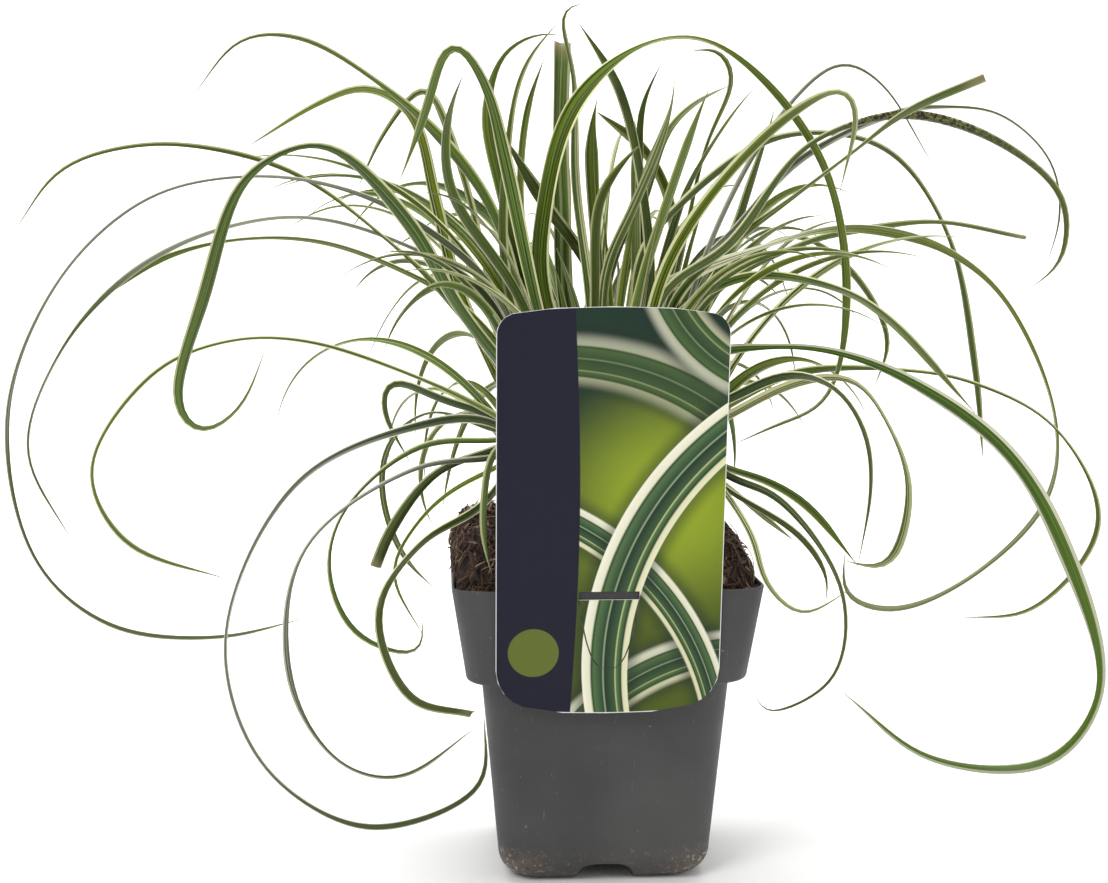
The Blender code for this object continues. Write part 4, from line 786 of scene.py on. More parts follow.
def rgba(colour, shade=1.0):
    """A colour, in sRGB hex or linear parts, made darker or lighter."""
    parts = linear(colour) if isinstance(colour, str) else list(colour)[:3]
    return (*(part * shade for part in parts), 1.0)


def tint(name, colour, description):
    """The property for a colour that a user may change."""
    return bpy.props.FloatVectorProperty(
        name=name, description=description, subtype="COLOR", min=0, max=1, default=linear(colour))


def number(name, least, most, value, description, **more):
    """The property for a number that a user may change."""
    kind = bpy.props.IntProperty if isinstance(value, int) else bpy.props.FloatProperty
    return kind(name=name, description=description, min=least, max=most, default=value, **more)


class LeafSettings(bpy.types.PropertyGroup):
    """What a user would change on the leaves."""
    deep: tint("Deep green", "233305", "Darkest stripes of a leaf's green middle")
    light: tint("Light green", "6c8422", "Lightest stripes of a leaf's green middle")
    cream: tint("Cream", "ecebb6", "Margins and pale stripes")
    underside: tint("Underside", "4f5d33", "Greyer green under a leaf")
    spacing: number("Spacing", 0.001, 0.02, 4.2 * MM, "Length of one step along a blade", unit="LENGTH")
    thickness: number("Thickness", 0.0001, 0.002, 0.42 * MM, "Thickness of a blade at its midrib", unit="LENGTH")


class CompostSettings(bpy.types.PropertyGroup):
    """What a user would change on the compost."""
    dark: tint("Peat", "2c1f18", "Colour of the crumbly ground")
    bark: tint("Bark", "4d3526", "Colour of the shredded bark")
    strands: number("Strands", 0, 6000, 3000, "Pieces of shredded bark on the compost")
    fibres: number("Fibres", 0, 3000, 520, "Thin coir fibres on the compost")


class PotSettings(bpy.types.PropertyGroup):
    """What a user would change on the pot."""
    plastic: tint("Plastic", "363637", "Colour of the moulded pot")
    dust: number("Dust", 0, 1, 0.5, "How dusty the pot is", subtype="FACTOR")


class LabelSettings(bpy.types.PropertyGroup):
    """What a user would change on the label."""
    panel: tint("Panel", "1b1b2b", "Plain printed panel at the left")
    ground: tint("Ground", "1d3226", "Dark ground behind the printed arcs")
    glow: tint("Glow", "8a9c26", "Yellow-green glow behind the printed arcs")


class StageSettings(bpy.types.PropertyGroup):
    """What a user would change on the stage."""
    floor: tint("Floor", "eeeeed", "Colour of the floor and the wall behind")
    sky: number("Room light", 0, 5, 0.6, "Strength of the light from all round")
    key: number("Main light", 0, 500, 17.0, "Power of the large light at the upper left", unit="POWER")


def add(kind, inputs, tree=None, **settings):
    """Add a node with its settings, input values and links, by default to the tree of the sockets it takes."""
    sockets = [value for value in inputs.values() if isinstance(value, bpy.types.NodeSocket)]
    tree = tree or sockets[0].id_data
    node = tree.nodes.new("ShaderNode" + kind)
    for key, value in settings.items():
        setattr(node, key, value)
    for key, value in inputs.items():
        if isinstance(value, bpy.types.NodeSocket):
            tree.links.new(value, node.inputs[key])
        else:
            node.inputs[key].default_value = value
    return node


def start_material(name):
    """An empty node material."""
    material = bpy.data.materials.new(name)
    material.use_nodes = True
    material.node_tree.nodes.clear()
    return material


def finish_material(material, colour, roughness, bump=None, specular=0.5):
    """Give a material its shader. Bump is strength, mm of depth, and the height that it follows."""
    inputs = {"Base Color": colour, "Roughness": roughness, "Specular IOR Level": specular}
    if bump:
        strength, depth, height = bump
        relief = add("Bump", {"Strength": strength, "Distance": depth * MM, "Height": height})
        inputs["Normal"] = relief.outputs["Normal"]
    shader = add("BsdfPrincipled", inputs, material.node_tree)
    add("OutputMaterial", {"Surface": shader.outputs["BSDF"]})
    return material


def reckon(operation, first, second=0.0, third=0.0):
    """One sum on numbers or sockets."""
    return add("Math", {0: first, 1: second, 2: third}, operation=operation).outputs[0]


plus, minus, times = (partial(reckon, name) for name in ("ADD", "SUBTRACT", "MULTIPLY"))
smaller, larger, magnitude = (partial(reckon, name) for name in ("MINIMUM", "MAXIMUM", "ABSOLUTE"))
scaled = partial(reckon, "MULTIPLY_ADD")    # a value, what it is multiplied by, and what is added


def ramp(value, low, high, to_low=0.0, to_high=1.0):
    """A value turned smoothly from one range into another."""
    return add("MapRange", {0: value, 1: low, 2: high, 3: to_low, 4: to_high},
               interpolation_type="SMOOTHSTEP").outputs[0]


def blend(share, first, second):
    """Two colours mixed by a share. Each is a socket, sRGB hex or linear parts."""
    first, second = (part if isinstance(part, bpy.types.NodeSocket) else rgba(part) for part in (first, second))
    return add("Mix", {0: share, 6: first, 7: second}, data_type="RGBA").outputs[2]


def layered(colour, *layers):
    """A colour with others laid over it, each by its own share."""
    for share, layer in layers:
        colour = blend(share, colour, layer)
    return colour


def patches(place, scale, detail=3.0, roughness=0.55):
    """Soft noise from 0 to 1."""
    return add("TexNoise", {0: place, "Scale": scale, "Detail": detail, "Roughness": roughness}).outputs[0]


def vector(x, y, z=0.0):
    return add("CombineXYZ", {0: x, 1: y, 2: z}).outputs[0]


def split(value, kind="XYZ"):
    """The three parts of a place or a colour."""
    return add("Separate" + kind, {0: value}).outputs[:3]


def metres(material):
    """The place on the object in metres."""
    return add("TexCoord", {}, material.node_tree).outputs["Object"]


def strip(material):
    """The share of a strip's width at a place, and how far along it that is."""
    return split(add("UVMap", {}, material.node_tree, uv_map="UVMap").outputs[0])[:2]


def streaks(place, across, along, seed=0.0, detail=2.0, roughness=0.55):
    """Noise on a strip, with how closely it changes across and along."""
    return patches(vector(times(place[0], across), times(place[1], along), seed), 1.0, detail, roughness)


def attribute(material, name):
    return add("Attribute", {}, material.node_tree, attribute_name=name).outputs


def leaf_material(name, deep, light, cream, underside, middle, pale_share, browned=0.0, outer_green=None):
    """Fresh sedge leaf, grown: a green middle with cream margins and fine ribs that catch the light in
    thin lines along the blade, semi-gloss above and greyer below. Middle is the green share of its width,
    and outer_green is what the stripes of a pale leaf turn to further out."""
    material = start_material("sedge_leaf_" + name)
    place = strip(material)
    look = attribute(material, "leaf_look")
    tone, margin, hue = split(look["Color"], "Color")
    share = attribute(material, "leaf_share")["Fac"]
    across = scaled(place[0], 2.0, -1.0)
    aside = magnitude(plus(across, scaled(margin, 0.22, -0.11)))
    seed = times(tone, 57.0)
    ribs = streaks(place, 13.0, 7.0, seed)      # about 0.35 mm apart on a blade 5 mm wide
    stripes = streaks(place, 6.0, 2.5, seed, 1.0)
    green = blend(ramp(ribs, 0.40, 0.60), deep, light)
    pale_lines = ramp(stripes, 0.72 - pale_share * 0.35, 0.80 - pale_share * 0.35)
    if outer_green:
        further = times(ramp(share, 0.24, 0.40), ramp(share, 0.66, 0.72, 1.0, 0.0))
        green = blend(further, green, blend(ramp(ribs, 0.40, 0.60), deep, outer_green))
        pale_lines = times(pale_lines, ramp(further, 0.0, 1.0, 1.0, 0.1))
    green = add("HueSaturation", {"Hue": scaled(hue, 0.04, 0.484), "Saturation": scaled(hue, -0.4, 1.2),
                                  "Value": scaled(tone, 0.6, 0.66), "Color": green}).outputs[0]
    green = blend(times(pale_lines, 0.8), green, cream)
    edge = scaled(stripes, 0.16, middle - 0.08)
    margins = ramp(aside, minus(edge, 0.02), plus(edge, 0.025))
    # Painted shade: a darker line along the midrib, where the fold's groove lies in shade
    midrib_groove_shade = ramp(magnitude(across), 0.02, 0.10, 0.34, 0.0)
    foot = times(ramp(share, 0.0, 0.24, 0.75, 0.0), ramp(ribs, 0.4, 0.56, 0.25, 1.0))
    colour = layered(
        green,
        (margins, blend(ramp(ribs, 0.3, 0.7), cream, rgba(cream, 0.82))),
        (midrib_groove_shade, rgba(deep, 0.55)),
        (times(look["Alpha"], 0.25), underside),
        (foot, "ccd083"),
        (ramp(share, 0.35, 0.9, 0.0, 0.5), "4f5c22"),       # darker further out
        (ramp(share, 0.95, 1.0, 0.0, 0.7), "8f8660"),       # dry at the tip
    )
    if browned:
        spots = streaks(place, 3.4, 620.0, seed, 4.0, 0.7)
        outer = times(ramp(share, 0.545, 0.575, 0.0, browned), ramp(share, 0.66, 0.86, 1.0, 0.1))
        dead = blend(ramp(spots, 0.45, 0.54), "6b6232", "15130d")
        colour = blend(times(ramp(spots, 0.40, 0.47), outer), colour, dead)
    return finish_material(material, colour, ramp(ribs, 0.3, 0.7, 0.36, 0.5), (0.3, 0.12, ribs), 0.26)


def leaf_materials(settings):
    """The finishes of the leaves by name, in the order of their slots."""
    deep, light, cream, under = settings.deep, settings.light, settings.cream, settings.underside
    finishes = {
        "green": (deep, light, cream, under, 0.80, 0.14),
        "striped": (deep, light, cream, under, 0.70, 0.5),
        "cream": ("3c4826", "b9bd96", "dfdfc2", "b4b796", 0.84, 0.62, 0.0, light),
        "olive": ("565e26", "8d9250", cream, under, 0.6, 0.5),
        "lime": ("5c701e", "8a9c3c", "dcdc92", "7d8f3c", 0.74, 0.3),
        "dark": ("283510", "48592a", cream, under, 0.80, 0.08),
        "fresh": ("3a5a14", "64902c", "e6e6cc", under, 0.60, 0.03),
        "greyed": ("2d3a16", "4e5e30", "dcdcca", "6c7060", 0.76, 0.15, 0.0, "a3a596"),
        "browned": ("3a4716", "66742e", cream, under, 0.74, 0.3, 0.95),
    }
    return {name: leaf_material(name, *finish) for name, finish in finishes.items()}


def sheath_material(settings):
    """Sedge sheaths, grown: folded leaf bases, whitish with thin green ribs, brown and papery at the foot."""
    material = start_material("sedge_sheath")
    place = strip(material)
    ribs = streaks(place, 46.0, 1.3)
    colour = layered(blend(ramp(ribs, 0.42, 0.6), settings.cream, settings.light),
                     (ramp(place[1], 0.45, 0.9, 0.0, 0.6), settings.deep),
                     (ramp(place[1], 0.25, 0.55, 0.8, 0.0), "6b5138"))
    return finish_material(material, colour, 0.55, (0.4, 0.25, ribs))


def pot_material(settings):
    """Polypropylene, injection moulded: charcoal and matte, with a film of dust, faint scuffs and specks, and
    splashes of compost dried on near the foot."""
    material = start_material("pot_polypropylene")
    place = metres(material)
    mottle = patches(place, 28.0, 4.0)
    # Scuffs run slantwise, about 1 mm wide and 20 mm long
    slanted = add("Mapping", {"Vector": place, "Rotation": (0.5, 0.4, 0.6), "Scale": (900.0, 900.0, 45.0)})
    scuffs = ramp(patches(slanted.outputs[0], 1.0, 2.0), 0.68, 0.78, 0.0, 0.35)
    specks = ramp(patches(place, 420.0, 2.0), 0.72, 0.76, 0.0, 0.55 * settings.dust)
    # Dirt dries on the four feet, away from the notches
    x, y, height = split(place)
    corner = times(magnitude(x), magnitude(y))
    near_corner = ramp(corner, 0.45 * BODY_FOOT_HALF ** 2, 0.85 * BODY_FOOT_HALF ** 2, 0.12, 1.0)
    low = times(ramp(height, 3 * MM, 18 * MM, 1.0, 0.0), near_corner)
    mud = ramp(patches(place, 190.0, 6.0, 0.75), 0.38, 0.52)
    crusts = ramp(patches(place, 420.0, 5.0, 0.75), 0.55, 0.60)
    film = times(ramp(patches(place, 12.0, 3.0), 0.35, 0.75), 0.22 * settings.dust)
    plastic = blend(ramp(mottle, 0.3, 0.7), rgba(settings.plastic, 0.86), rgba(settings.plastic, 1.16))
    colour = layered(plastic, (scuffs, "77777a"), (specks, "a19a90"), (times(times(low, mud), 0.85), "6b5745"),
                     (times(times(low, crusts), 0.9), "c9c2b6"), (film, "8b8782"))
    grain = patches(place, 1800.0, 1.0)
    return finish_material(material, colour, ramp(mottle, 0.3, 0.7, 0.5, 0.66), (0.12, 0.1, grain))


def peat_material(settings):
    """Peat compost, moist: nearly black crumbs with reddish-brown fibre between them, wholly matte."""
    material = start_material("peat_compost")
    place = metres(material)
    crumbs = patches(place, 520.0, 4.0, 0.65)
    colour = blend(ramp(crumbs, 0.38, 0.66), rgba(settings.dark, 0.45), rgba(settings.dark, 1.5))
    colour = blend(ramp(patches(place, 160.0, 3.0), 0.5, 0.68, 0.0, 0.8), colour, settings.bark)
    return finish_material(material, colour, 0.95, (0.9, 0.6, crumbs))


def bark_material(settings):
    """Shredded pine bark, torn: matte splinters from reddish brown to grey, with lines along them."""
    material = start_material("shredded_bark")
    tone, tan, seed = split(attribute(material, "leaf_look")["Color"], "Color")
    lines = streaks(strip(material), 9.0, 2.0, times(seed, 40.0))
    colour = layered(blend(tone, rgba(settings.bark, 0.16), rgba(settings.bark, 1.45)),
                     (ramp(tan, TAN_SHARE, TAN_SHARE + 0.06, 0.0, 0.85), "96816a"),
                     (ramp(lines, 0.3, 0.7, 0.5, 0.0), rgba(settings.bark, 0.3)))
    return finish_material(material, colour, 0.9, (0.6, 0.2, lines))


def label_material(settings):
    """Polypropylene sheet, printed and varnished: satin ink with a thin white edge, and bare white behind."""
    material = start_material("printed_label_sheet")
    place_x, _, place_z = split(metres(material))
    x = scaled(place_x, 1 / MM, -LABEL_X / MM)
    along = scaled(place_z, 1 / MM / math.cos(LABEL_LEAN), -LABEL_FOOT_Z / MM / math.cos(LABEL_LEAN))
    plate = vector(x, along)

    def from_point(to_x, to_y):
        return add("VectorMath", {0: plate, 1: (to_x, to_y, 0.0)}, operation="DISTANCE").outputs["Value"]

    height = scaled(patches(plate, 0.02, 1.0), 90.0, along)
    colour = blend(ramp(height, 60.0, 190.0), "4c5a1c", settings.ground)
    colour = blend(ramp(from_point(*PRINT_GLOW), 8.0, 62.0, 1.0, 0.0), colour, settings.glow)
    for cx, cy, radius, shift_x, shift_y, width, soft in PRINT_BLADES:
        inner = minus(from_point(cx, cy), float(radius))
        outer = minus(float(radius + width), from_point(cx + shift_x, cy + shift_y))
        least = smaller(inner, outer)
        share = reckon("DIVIDE", inner, larger(plus(inner, outer), 0.1))
        blade = add("ValToRGB", {0: share})
        stops = blade.color_ramp.elements
        for spot, (position, shade) in enumerate(PRINT_STRIPES):
            stop = stops[spot] if spot < 2 else stops.new(position)
            stop.position = position
            stop.color = rgba(shade)
        colour = blend(ramp(least, -7.0, 0.0, 0.0, 0.55), colour, "1b2a22")
        dimmed = blend(min(0.6, soft * 0.22), blade.outputs[0], "3c4f2a")
        colour = blend(ramp(least, -soft, soft), colour, dimmed)
    wave = times(reckon("SINE", times(along, 0.018)), 3.0)
    panel = ramp(minus(x, wave), PANEL_EDGE - 0.2, PANEL_EDGE + 0.2, 1.0, 0.0)
    colour = blend(panel, colour, settings.panel)
    disc_x, disc_y, disc = PRINT_DISC
    colour = blend(ramp(from_point(disc_x, disc_y), disc - 0.2, disc + 0.2, 1.0, 0.0), colour, "5f6a2c")
    # The print stops short of the plate's edge, which has rounded corners and bowed ends
    half = LABEL_WIDTH / MM / 2
    middle = LABEL_LENGTH / MM / 2
    corner = ramp(along, middle - 1, middle + 1, LABEL_FOOT_CORNER / MM, LABEL_TOP_CORNER / MM)
    bow = times(times(x, x), LABEL_BOW / MM / half ** 2)
    from_middle = magnitude(minus(along, middle))
    out_x = plus(minus(magnitude(x), half), corner)
    out_y = plus(minus(plus(from_middle, bow), middle), corner)
    past = vector(larger(out_x, 0.0), larger(out_y, 0.0))
    reach = add("VectorMath", {0: past}, operation="LENGTH").outputs["Value"]
    within = smaller(larger(out_x, out_y), 0.0)
    edge = minus(plus(reach, within), corner)
    inside = ramp(edge, -PRINT_MARGIN - 0.08, -PRINT_MARGIN + 0.08, 1.0, 0.0)
    facing = add("VectorMath", {0: add("NewGeometry", {}, material.node_tree).outputs["True Normal"],
                                1: (0.0, -math.cos(LABEL_LEAN), -math.sin(LABEL_LEAN))}, operation="DOT_PRODUCT")
    printed = times(ramp(facing.outputs["Value"], 0.9, 0.97), inside)
    return finish_material(material, blend(printed, "e3e4e2", colour), 0.38, specular=0.16)


def cut_line_shadow_material():
    """Painted shadow of the die-cut line: a thin matte strip, dark green-black, lighter in random patches."""
    material = start_material("cut_line_painted_shadow")
    # Painted shadow: the strip's dark colour stands for the shade in the cut, and its tone varies at random
    shade = ramp(patches(metres(material), 300.0, 2.0), 0.3, 0.7)
    return finish_material(material, blend(shade, "191c14", "4a4e33"), 0.6)


def floor_material(settings):
    """Background paper, rolled: pale and matte."""
    return finish_material(start_material("pale_paper"), rgba(settings.floor), 0.9)


def make_piece(name, points, faces, materials, slot, node=None, uv=None, looks=None, shares=None, finishes=None):
    """A smooth mesh that rides on the part, with its places, looks and finishes."""
    mesh = bpy.data.meshes.new(name)
    mesh.from_pydata([tuple(point) for point in points], [], faces)
    for material in materials:
        mesh.materials.append(material)
    if uv is not None:
        corners = np.zeros(len(mesh.loops), np.int32)
        mesh.loops.foreach_get("vertex_index", corners)
        mesh.uv_layers.new(name="UVMap").data.foreach_set("uv", np.asarray(uv, np.float32)[corners].ravel())
        layer = mesh.attributes.new("leaf_look", "FLOAT_COLOR", "POINT")
        layer.data.foreach_set("color", np.asarray(looks, np.float32).ravel())
        layer = mesh.attributes.new("leaf_share", "FLOAT", "POINT")
        layer.data.foreach_set("value", np.asarray(shares, np.float32).ravel())
        mesh.polygons.foreach_set("material_index", np.asarray(finishes, np.int32))
    mesh.shade_smooth()
    mesh.update()
    thing = bpy.data.objects.new(name, mesh)
    bpy.context.scene.collection.objects.link(thing)
    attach(thing, BODY)
    if node:
        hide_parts(node)
    return thing


class Batch:
    """Many like pieces, gathered for one mesh."""

    def __init__(self):
        self.pieces = []
        self.faces = []
        self.finishes = []
        self.count = 0

    def put(self, points, faces, uv, looks, shares, finish=0):
        """Add one piece, whose faces are numbered from its own first point."""
        self.pieces.append((points, uv, looks, shares))
        self.faces += [tuple(self.count + i for i in face) for face in faces]
        self.finishes += [finish] * len(faces)
        self.count += len(points)

    def make(self, name, materials, slot, node=None):
        points, *layers = (np.concatenate(layer) for layer in zip(*self.pieces))
        return make_piece(name, points, self.faces, materials, slot, node, *layers, self.finishes)


def eased(points, rounds=3):
    """Points of a line with their small corners taken off."""
    for _ in range(rounds):
        points[1:-1] = 0.25 * points[:-2] + 0.5 * points[1:-1] + 0.25 * points[2:]
    return points


def twisted_widths(curve, width, roll, cut_end, seen, shares, facing):
    """True widths and turns along a read leaf, so that its turned face shows as wide as it should. Facing is
    the turn at which it would show its full face to the eye."""
    lengths = lengths_along(curve)
    place = np.interp(shares * lengths[-1], lengths, np.arange(len(curve)) / ROUTE_STEPS)
    shown = np.interp(place, range(len(seen) + 1), (width * SEEN_SHARE, *[part * MM for part in seen]))
    shown = eased(np.maximum(shown, SEEN_LEAST), 6)
    widths = np.minimum(np.sqrt(shown * width), width)
    hand = math.copysign(1.0, roll)
    facing = np.unwrap(facing, period=math.pi)
    facing -= math.pi * round((float(np.median(facing)) - hand * math.pi / 2) / math.pi)
    angles = eased(facing - hand * np.arccos(np.clip(shown / widths, TWIST_LEAST, TWIST_MOST)), 4)
    widths *= opened(shares)
    if not cut_end:
        tip = min(TIP_LENGTH, TIP_SHARE * lengths[-1])
        widths *= np.minimum(1.0, (1 - shares) * lengths[-1] / tip) ** TIP_POINT
    return np.maximum(widths, FINE_TIP), angles


def fine_blade(leaf, settings, look, seen):
    """The skin of one blade: a folded strip with thin margins, as points, faces, places, looks and shares."""
    curve, width, roll, cut_end = leaf
    length = float(np.linalg.norm(np.diff(curve, axis=0), axis=1).sum())
    spine, shares = even_points(curve, max(14, int(length / settings.spacing)))
    spine = eased(spine)
    across = level_across(spine)
    tangent = unit_rows(np.gradient(spine, axis=0))
    side = unit_rows(across - tangent * (tangent @ across)[:, None])
    upper = np.cross(side, tangent)
    flutter = FLUTTER * np.sin(shares * length / FLUTTER_LENGTH * 2 * math.pi + look[0] * 9)
    if seen:
        sight = unit_rows(np.cross(spine - EYE, tangent))
        facing = np.arctan2((upper * sight).sum(axis=1), (side * sight).sum(axis=1))
        widths, rolls = twisted_widths(curve, width, roll, cut_end, seen, shares, facing)
    else:
        widths = np.array([blade_width(share, width, cut_end, FINE_TIP) for share in shares])
        rolls = roll
        flutter *= WILD_FLUTTER
    angle = (rolls * np.minimum(1.0, shares / ROLL_FULL) + flutter * np.minimum(1.0, shares * 4))[:, None]
    edge = side * np.cos(angle) + upper * np.sin(angle)
    face = upper * np.cos(angle) - side * np.sin(angle)
    depth = BLADE_KEEL * widths * (1 + FOOT_FOLD * (1 - np.minimum(1.0, shares / FOOT_LENGTH)))
    thick = settings.thickness * np.minimum(1.0, widths / FULL_THICK_WIDTH)
    section = [(u, 0.0) for u in FACE_SHARES] + [(u, 1.0) for u in FACE_SHARES[::-1]]
    rings = []
    for u, under in section:
        rise = depth * (abs(u) ** FOLD_CURVE - KEEL_DROP) - under * thick * (1 - EDGE_THINNING * abs(u))
        rings.append(spine + edge * (u * widths / 2)[:, None] + face * rise[:, None])
    levels, count = len(spine), len(section)
    uv = np.zeros((levels, count, 2))
    uv[:, :, 0] = [u / 2 + 0.5 for u, _ in section]
    uv[:, :, 1] = (shares * length)[:, None]
    looks = np.zeros((levels, count, 4))
    looks[:, :, :3] = look
    looks[:, :, 3] = [under for _, under in section]
    return (np.stack(rings, axis=1).reshape(-1, 3), ring_faces(levels, count), uv.reshape(-1, 2),
            looks.reshape(-1, 4), np.repeat(shares, count))


def fine_sheath(x, y):
    """The folded leaf bases that a shoot stands on, from its hole in the compost to where the blades part."""
    heights = [SHOOT_FOOT_Z, SHOOT_FOOT_Z + FOOT_TAPER]
    spread = [FOOT_SHARE, 1.0]
    for share, size in SHEATH_TAPER:
        heights.append(SHEATH_FOOT_Z + share * SHEATH_HEIGHT)
        spread.append(size)
    points = []
    uv = []
    for level in range(SHEATH_LEVELS):
        rise = level / (SHEATH_LEVELS - 1)
        z = SHOOT_FOOT_Z + rise * (heights[-1] - SHOOT_FOOT_Z)
        size = SHOOT_RADIUS * float(np.interp(z, heights, spread))
        lean = SHEATH_SPLAY / RING_RADIUS * max(0.0, (z - SHEATH_FOOT_Z) / SHEATH_HEIGHT)
        for i in range(SHEATH_POINTS):
            turn = i / SHEATH_POINTS
            wrap = (turn * SHEATH_LEAVES + rise * SHEATH_WIND) % 1.0
            radius = size * (0.86 + 0.13 * wrap)
            angle = 2 * math.pi * turn
            points.append((x + (x - CROWN_X) * lean + radius * math.cos(angle),
                           y + y * lean + radius * math.sin(angle), z))
            uv.append((turn, rise))
    looks = np.full((len(points), 4), 0.5)
    return points, ring_faces(SHEATH_LEVELS, SHEATH_POINTS), uv, looks, np.zeros(len(points))


def compost_outline():
    """A rounded square with points close together all round."""
    points = []
    side = COMPOST_HALF - COMPOST_CORNER
    for cos, sin in ((1, 0), (0, 1), (-1, 0), (0, -1)):
        own = [(COMPOST_HALF, -side + 2 * side * step / COMPOST_SIDE_STEPS)
               for step in range(COMPOST_SIDE_STEPS)]
        own += [(side + COMPOST_CORNER * math.cos(angle), side + COMPOST_CORNER * math.sin(angle))
                for angle in arc(COMPOST_CORNER_STEPS)[:-1]]
        points += [(x * cos - y * sin, x * sin + y * cos) for x, y in own]
    return points


def lie(up, heading):
    """The directions along and across a strand that lies on the ground."""
    along = np.array(heading)
    along = unit(along - up * (along @ up))
    return along, np.cross(up, along)


def strand(levels, ring, look):
    """A strand whose ring of points, each with its turn, is known for each share of its length."""
    rings = [[(point, (turn, step / (levels - 1))) for point, turn in ring(step / (levels - 1))]
             for step in range(levels)]
    points, uv = zip(*(pair for level in rings for pair in level))
    looks = np.zeros((len(points), 4))
    looks[:, :3] = look
    return points, ring_faces(levels, len(rings[0])), uv, looks, np.full(len(points), 0.5)


def splinter(place, up, heading, length, width, thick, arch, look):
    """One torn strand of bark: a flat, slightly arched splinter with pointed ends."""
    along, side = lie(up, heading)

    def ring(share):
        grow = 0.18 + 0.82 * math.sin(math.pi * min(1.0, share * 0.9 + 0.08)) ** 0.6
        centre = place + along * (share - 0.5) * length + up * arch * math.sin(math.pi * share)
        return [(centre + side * a * width / 2 * grow + up * b * thick / 2 * grow, a / 2 + 0.5)
                for a, b in SPLINTER_SECTION]

    return strand(STRAND_LEVELS, ring, look)


def fibre(place, up, heading, length, thick, bend, look):
    """One coir fibre: a thin round thread that curls over the compost."""
    along, side = lie(up, heading)

    def ring(share):
        curl = bend * (share - 0.5)
        centre = (place + along * (share - 0.5) * length + side * curl * curl * length
                  + up * FIBRE_ARCH * length * math.sin(math.pi * share) * (0.4 + look[0]))
        return [(centre + (side * math.cos(angle) + up * math.sin(angle)) * thick / 2, angle / math.tau)
                for angle in (0.0, math.pi / 2, math.pi, math.pi * 1.5)]

    return strand(FIBRE_LEVELS, ring, look)


def sticks_through(points):
    """Whether any of the points would stick through the label or the pot's wall."""
    for x, y, z in points:
        if z < POT_HEIGHT + 0.3 * MM and max(abs(x), abs(y)) > wall_half(z) - POT_WALL - 0.2 * MM:
            return True
        if abs(x - LABEL_X) < LABEL_WIDTH / 2 + 1 * MM and y < label_back(z) + 0.4 * MM:
            return True
    return False


def rounded_square(half, corner, z):
    """Points close together round a rounded square."""
    points = []
    for quarter, (sx, sy) in enumerate(((1, 1), (-1, 1), (-1, -1), (1, -1))):
        for step in range(CORNER_STEPS + 1):
            angle = math.radians(90 * (quarter + step / CORNER_STEPS))
            points.append((sx * (half - corner) + corner * math.cos(angle),
                           sy * (half - corner) + corner * math.sin(angle), z))
    return points


def pot_profile():
    """Half widths, corner radii and heights up the outside of the pot and down its inside."""
    rings = []
    for angle in arc(FOOT_STEPS):
        drop = FOOT_ROUND * (1 - math.sin(angle))
        rings.append((BODY_FOOT_HALF - drop, FOOT_CORNER - 0.3 * drop, BODY_FOOT_Z * (1 - math.cos(angle))))
    for angle in arc(5):
        rings.append((BODY_TOP_HALF - STEP_INSET + STEP_ROUND * (1 - math.cos(angle)), STEP_CORNER,
                      COLLAR_FOOT_Z - STEP_DROP + STEP_ROUND * math.sin(angle)))
    for angle in arc(6):
        rings.append((COLLAR_FOOT_HALF - 2.4 * MM + COLLAR_ROUND * math.sin(angle), COLLAR_CORNER,
                      COLLAR_FOOT_Z - 1.2 * MM + 2.8 * MM * (1 - math.cos(angle))))
    lip = POT_WALL / 2
    for angle in arc(8, 180)[:-1]:
        inset = lip * (1 - math.cos(angle))
        rings.append((RIM_HALF - inset, RIM_CORNER - inset, POT_HEIGHT - lip + lip * math.sin(angle)))
    return rings + [(RIM_HALF - POT_WALL, RIM_CORNER - POT_WALL, POT_HEIGHT - lip),
                    (COLLAR_FOOT_HALF - POT_WALL, 13.6 * MM, COLLAR_FOOT_Z + 1.2 * MM),
                    (BODY_TOP_HALF - POT_WALL, 13 * MM, COLLAR_FOOT_Z),
                    (BODY_FOOT_HALF - POT_WALL, 12.6 * MM, BODY_FOOT_Z + 4 * MM),
                    (BODY_FOOT_HALF - 4 * MM, 11 * MM, POT_FLOOR_Z + 2 * MM),
                    (BODY_FOOT_HALF - 7 * MM, 10 * MM, POT_FLOOR_Z)]


def notch_rings():
    """A channel under the pot that is higher and wider where it leaves the wall."""
    rings = []
    for away, height, spread in NOTCH_ROOF:
        arch = [(-NOTCH_FOOT * spread, -1 * MM)]
        for i in range(NOTCH_STEPS + 1):
            across = math.cos(math.pi * (1 - i / NOTCH_STEPS))
            flare = NOTCH_TOP + (NOTCH_FOOT - NOTCH_TOP) * abs(across) ** 4
            arch.append((math.copysign(min(1.0, abs(across) * 1.35), across) * flare * spread,
                         height * MM * (1 - abs(across) ** 6)))
        arch.append((NOTCH_FOOT * spread, -1 * MM))
        rings.append([(x, away * MM, z) for x, z in arch])
    return rings


def cut_away(piece, tools):
    """Take solids out of a piece, given as the rings that each is skinned over."""
    cutters = []
    for rings in tools:
        mesh = bpy.data.meshes.new("tool")
        mesh.from_pydata([point for ring in rings for point in ring], [], ring_faces(len(rings), len(rings[0])))
        mesh.update()
        tool = bpy.data.objects.new("tool", mesh)
        bpy.context.scene.collection.objects.link(tool)
        piece.modifiers.new("cut", "BOOLEAN").object = tool
        cutters.append(tool)
    graph = bpy.context.evaluated_depsgraph_get()
    mesh = bpy.data.meshes.new_from_object(piece.evaluated_get(graph))
    piece.modifiers.clear()
    piece.data = mesh
    for tool in cutters:
        bpy.data.objects.remove(tool)


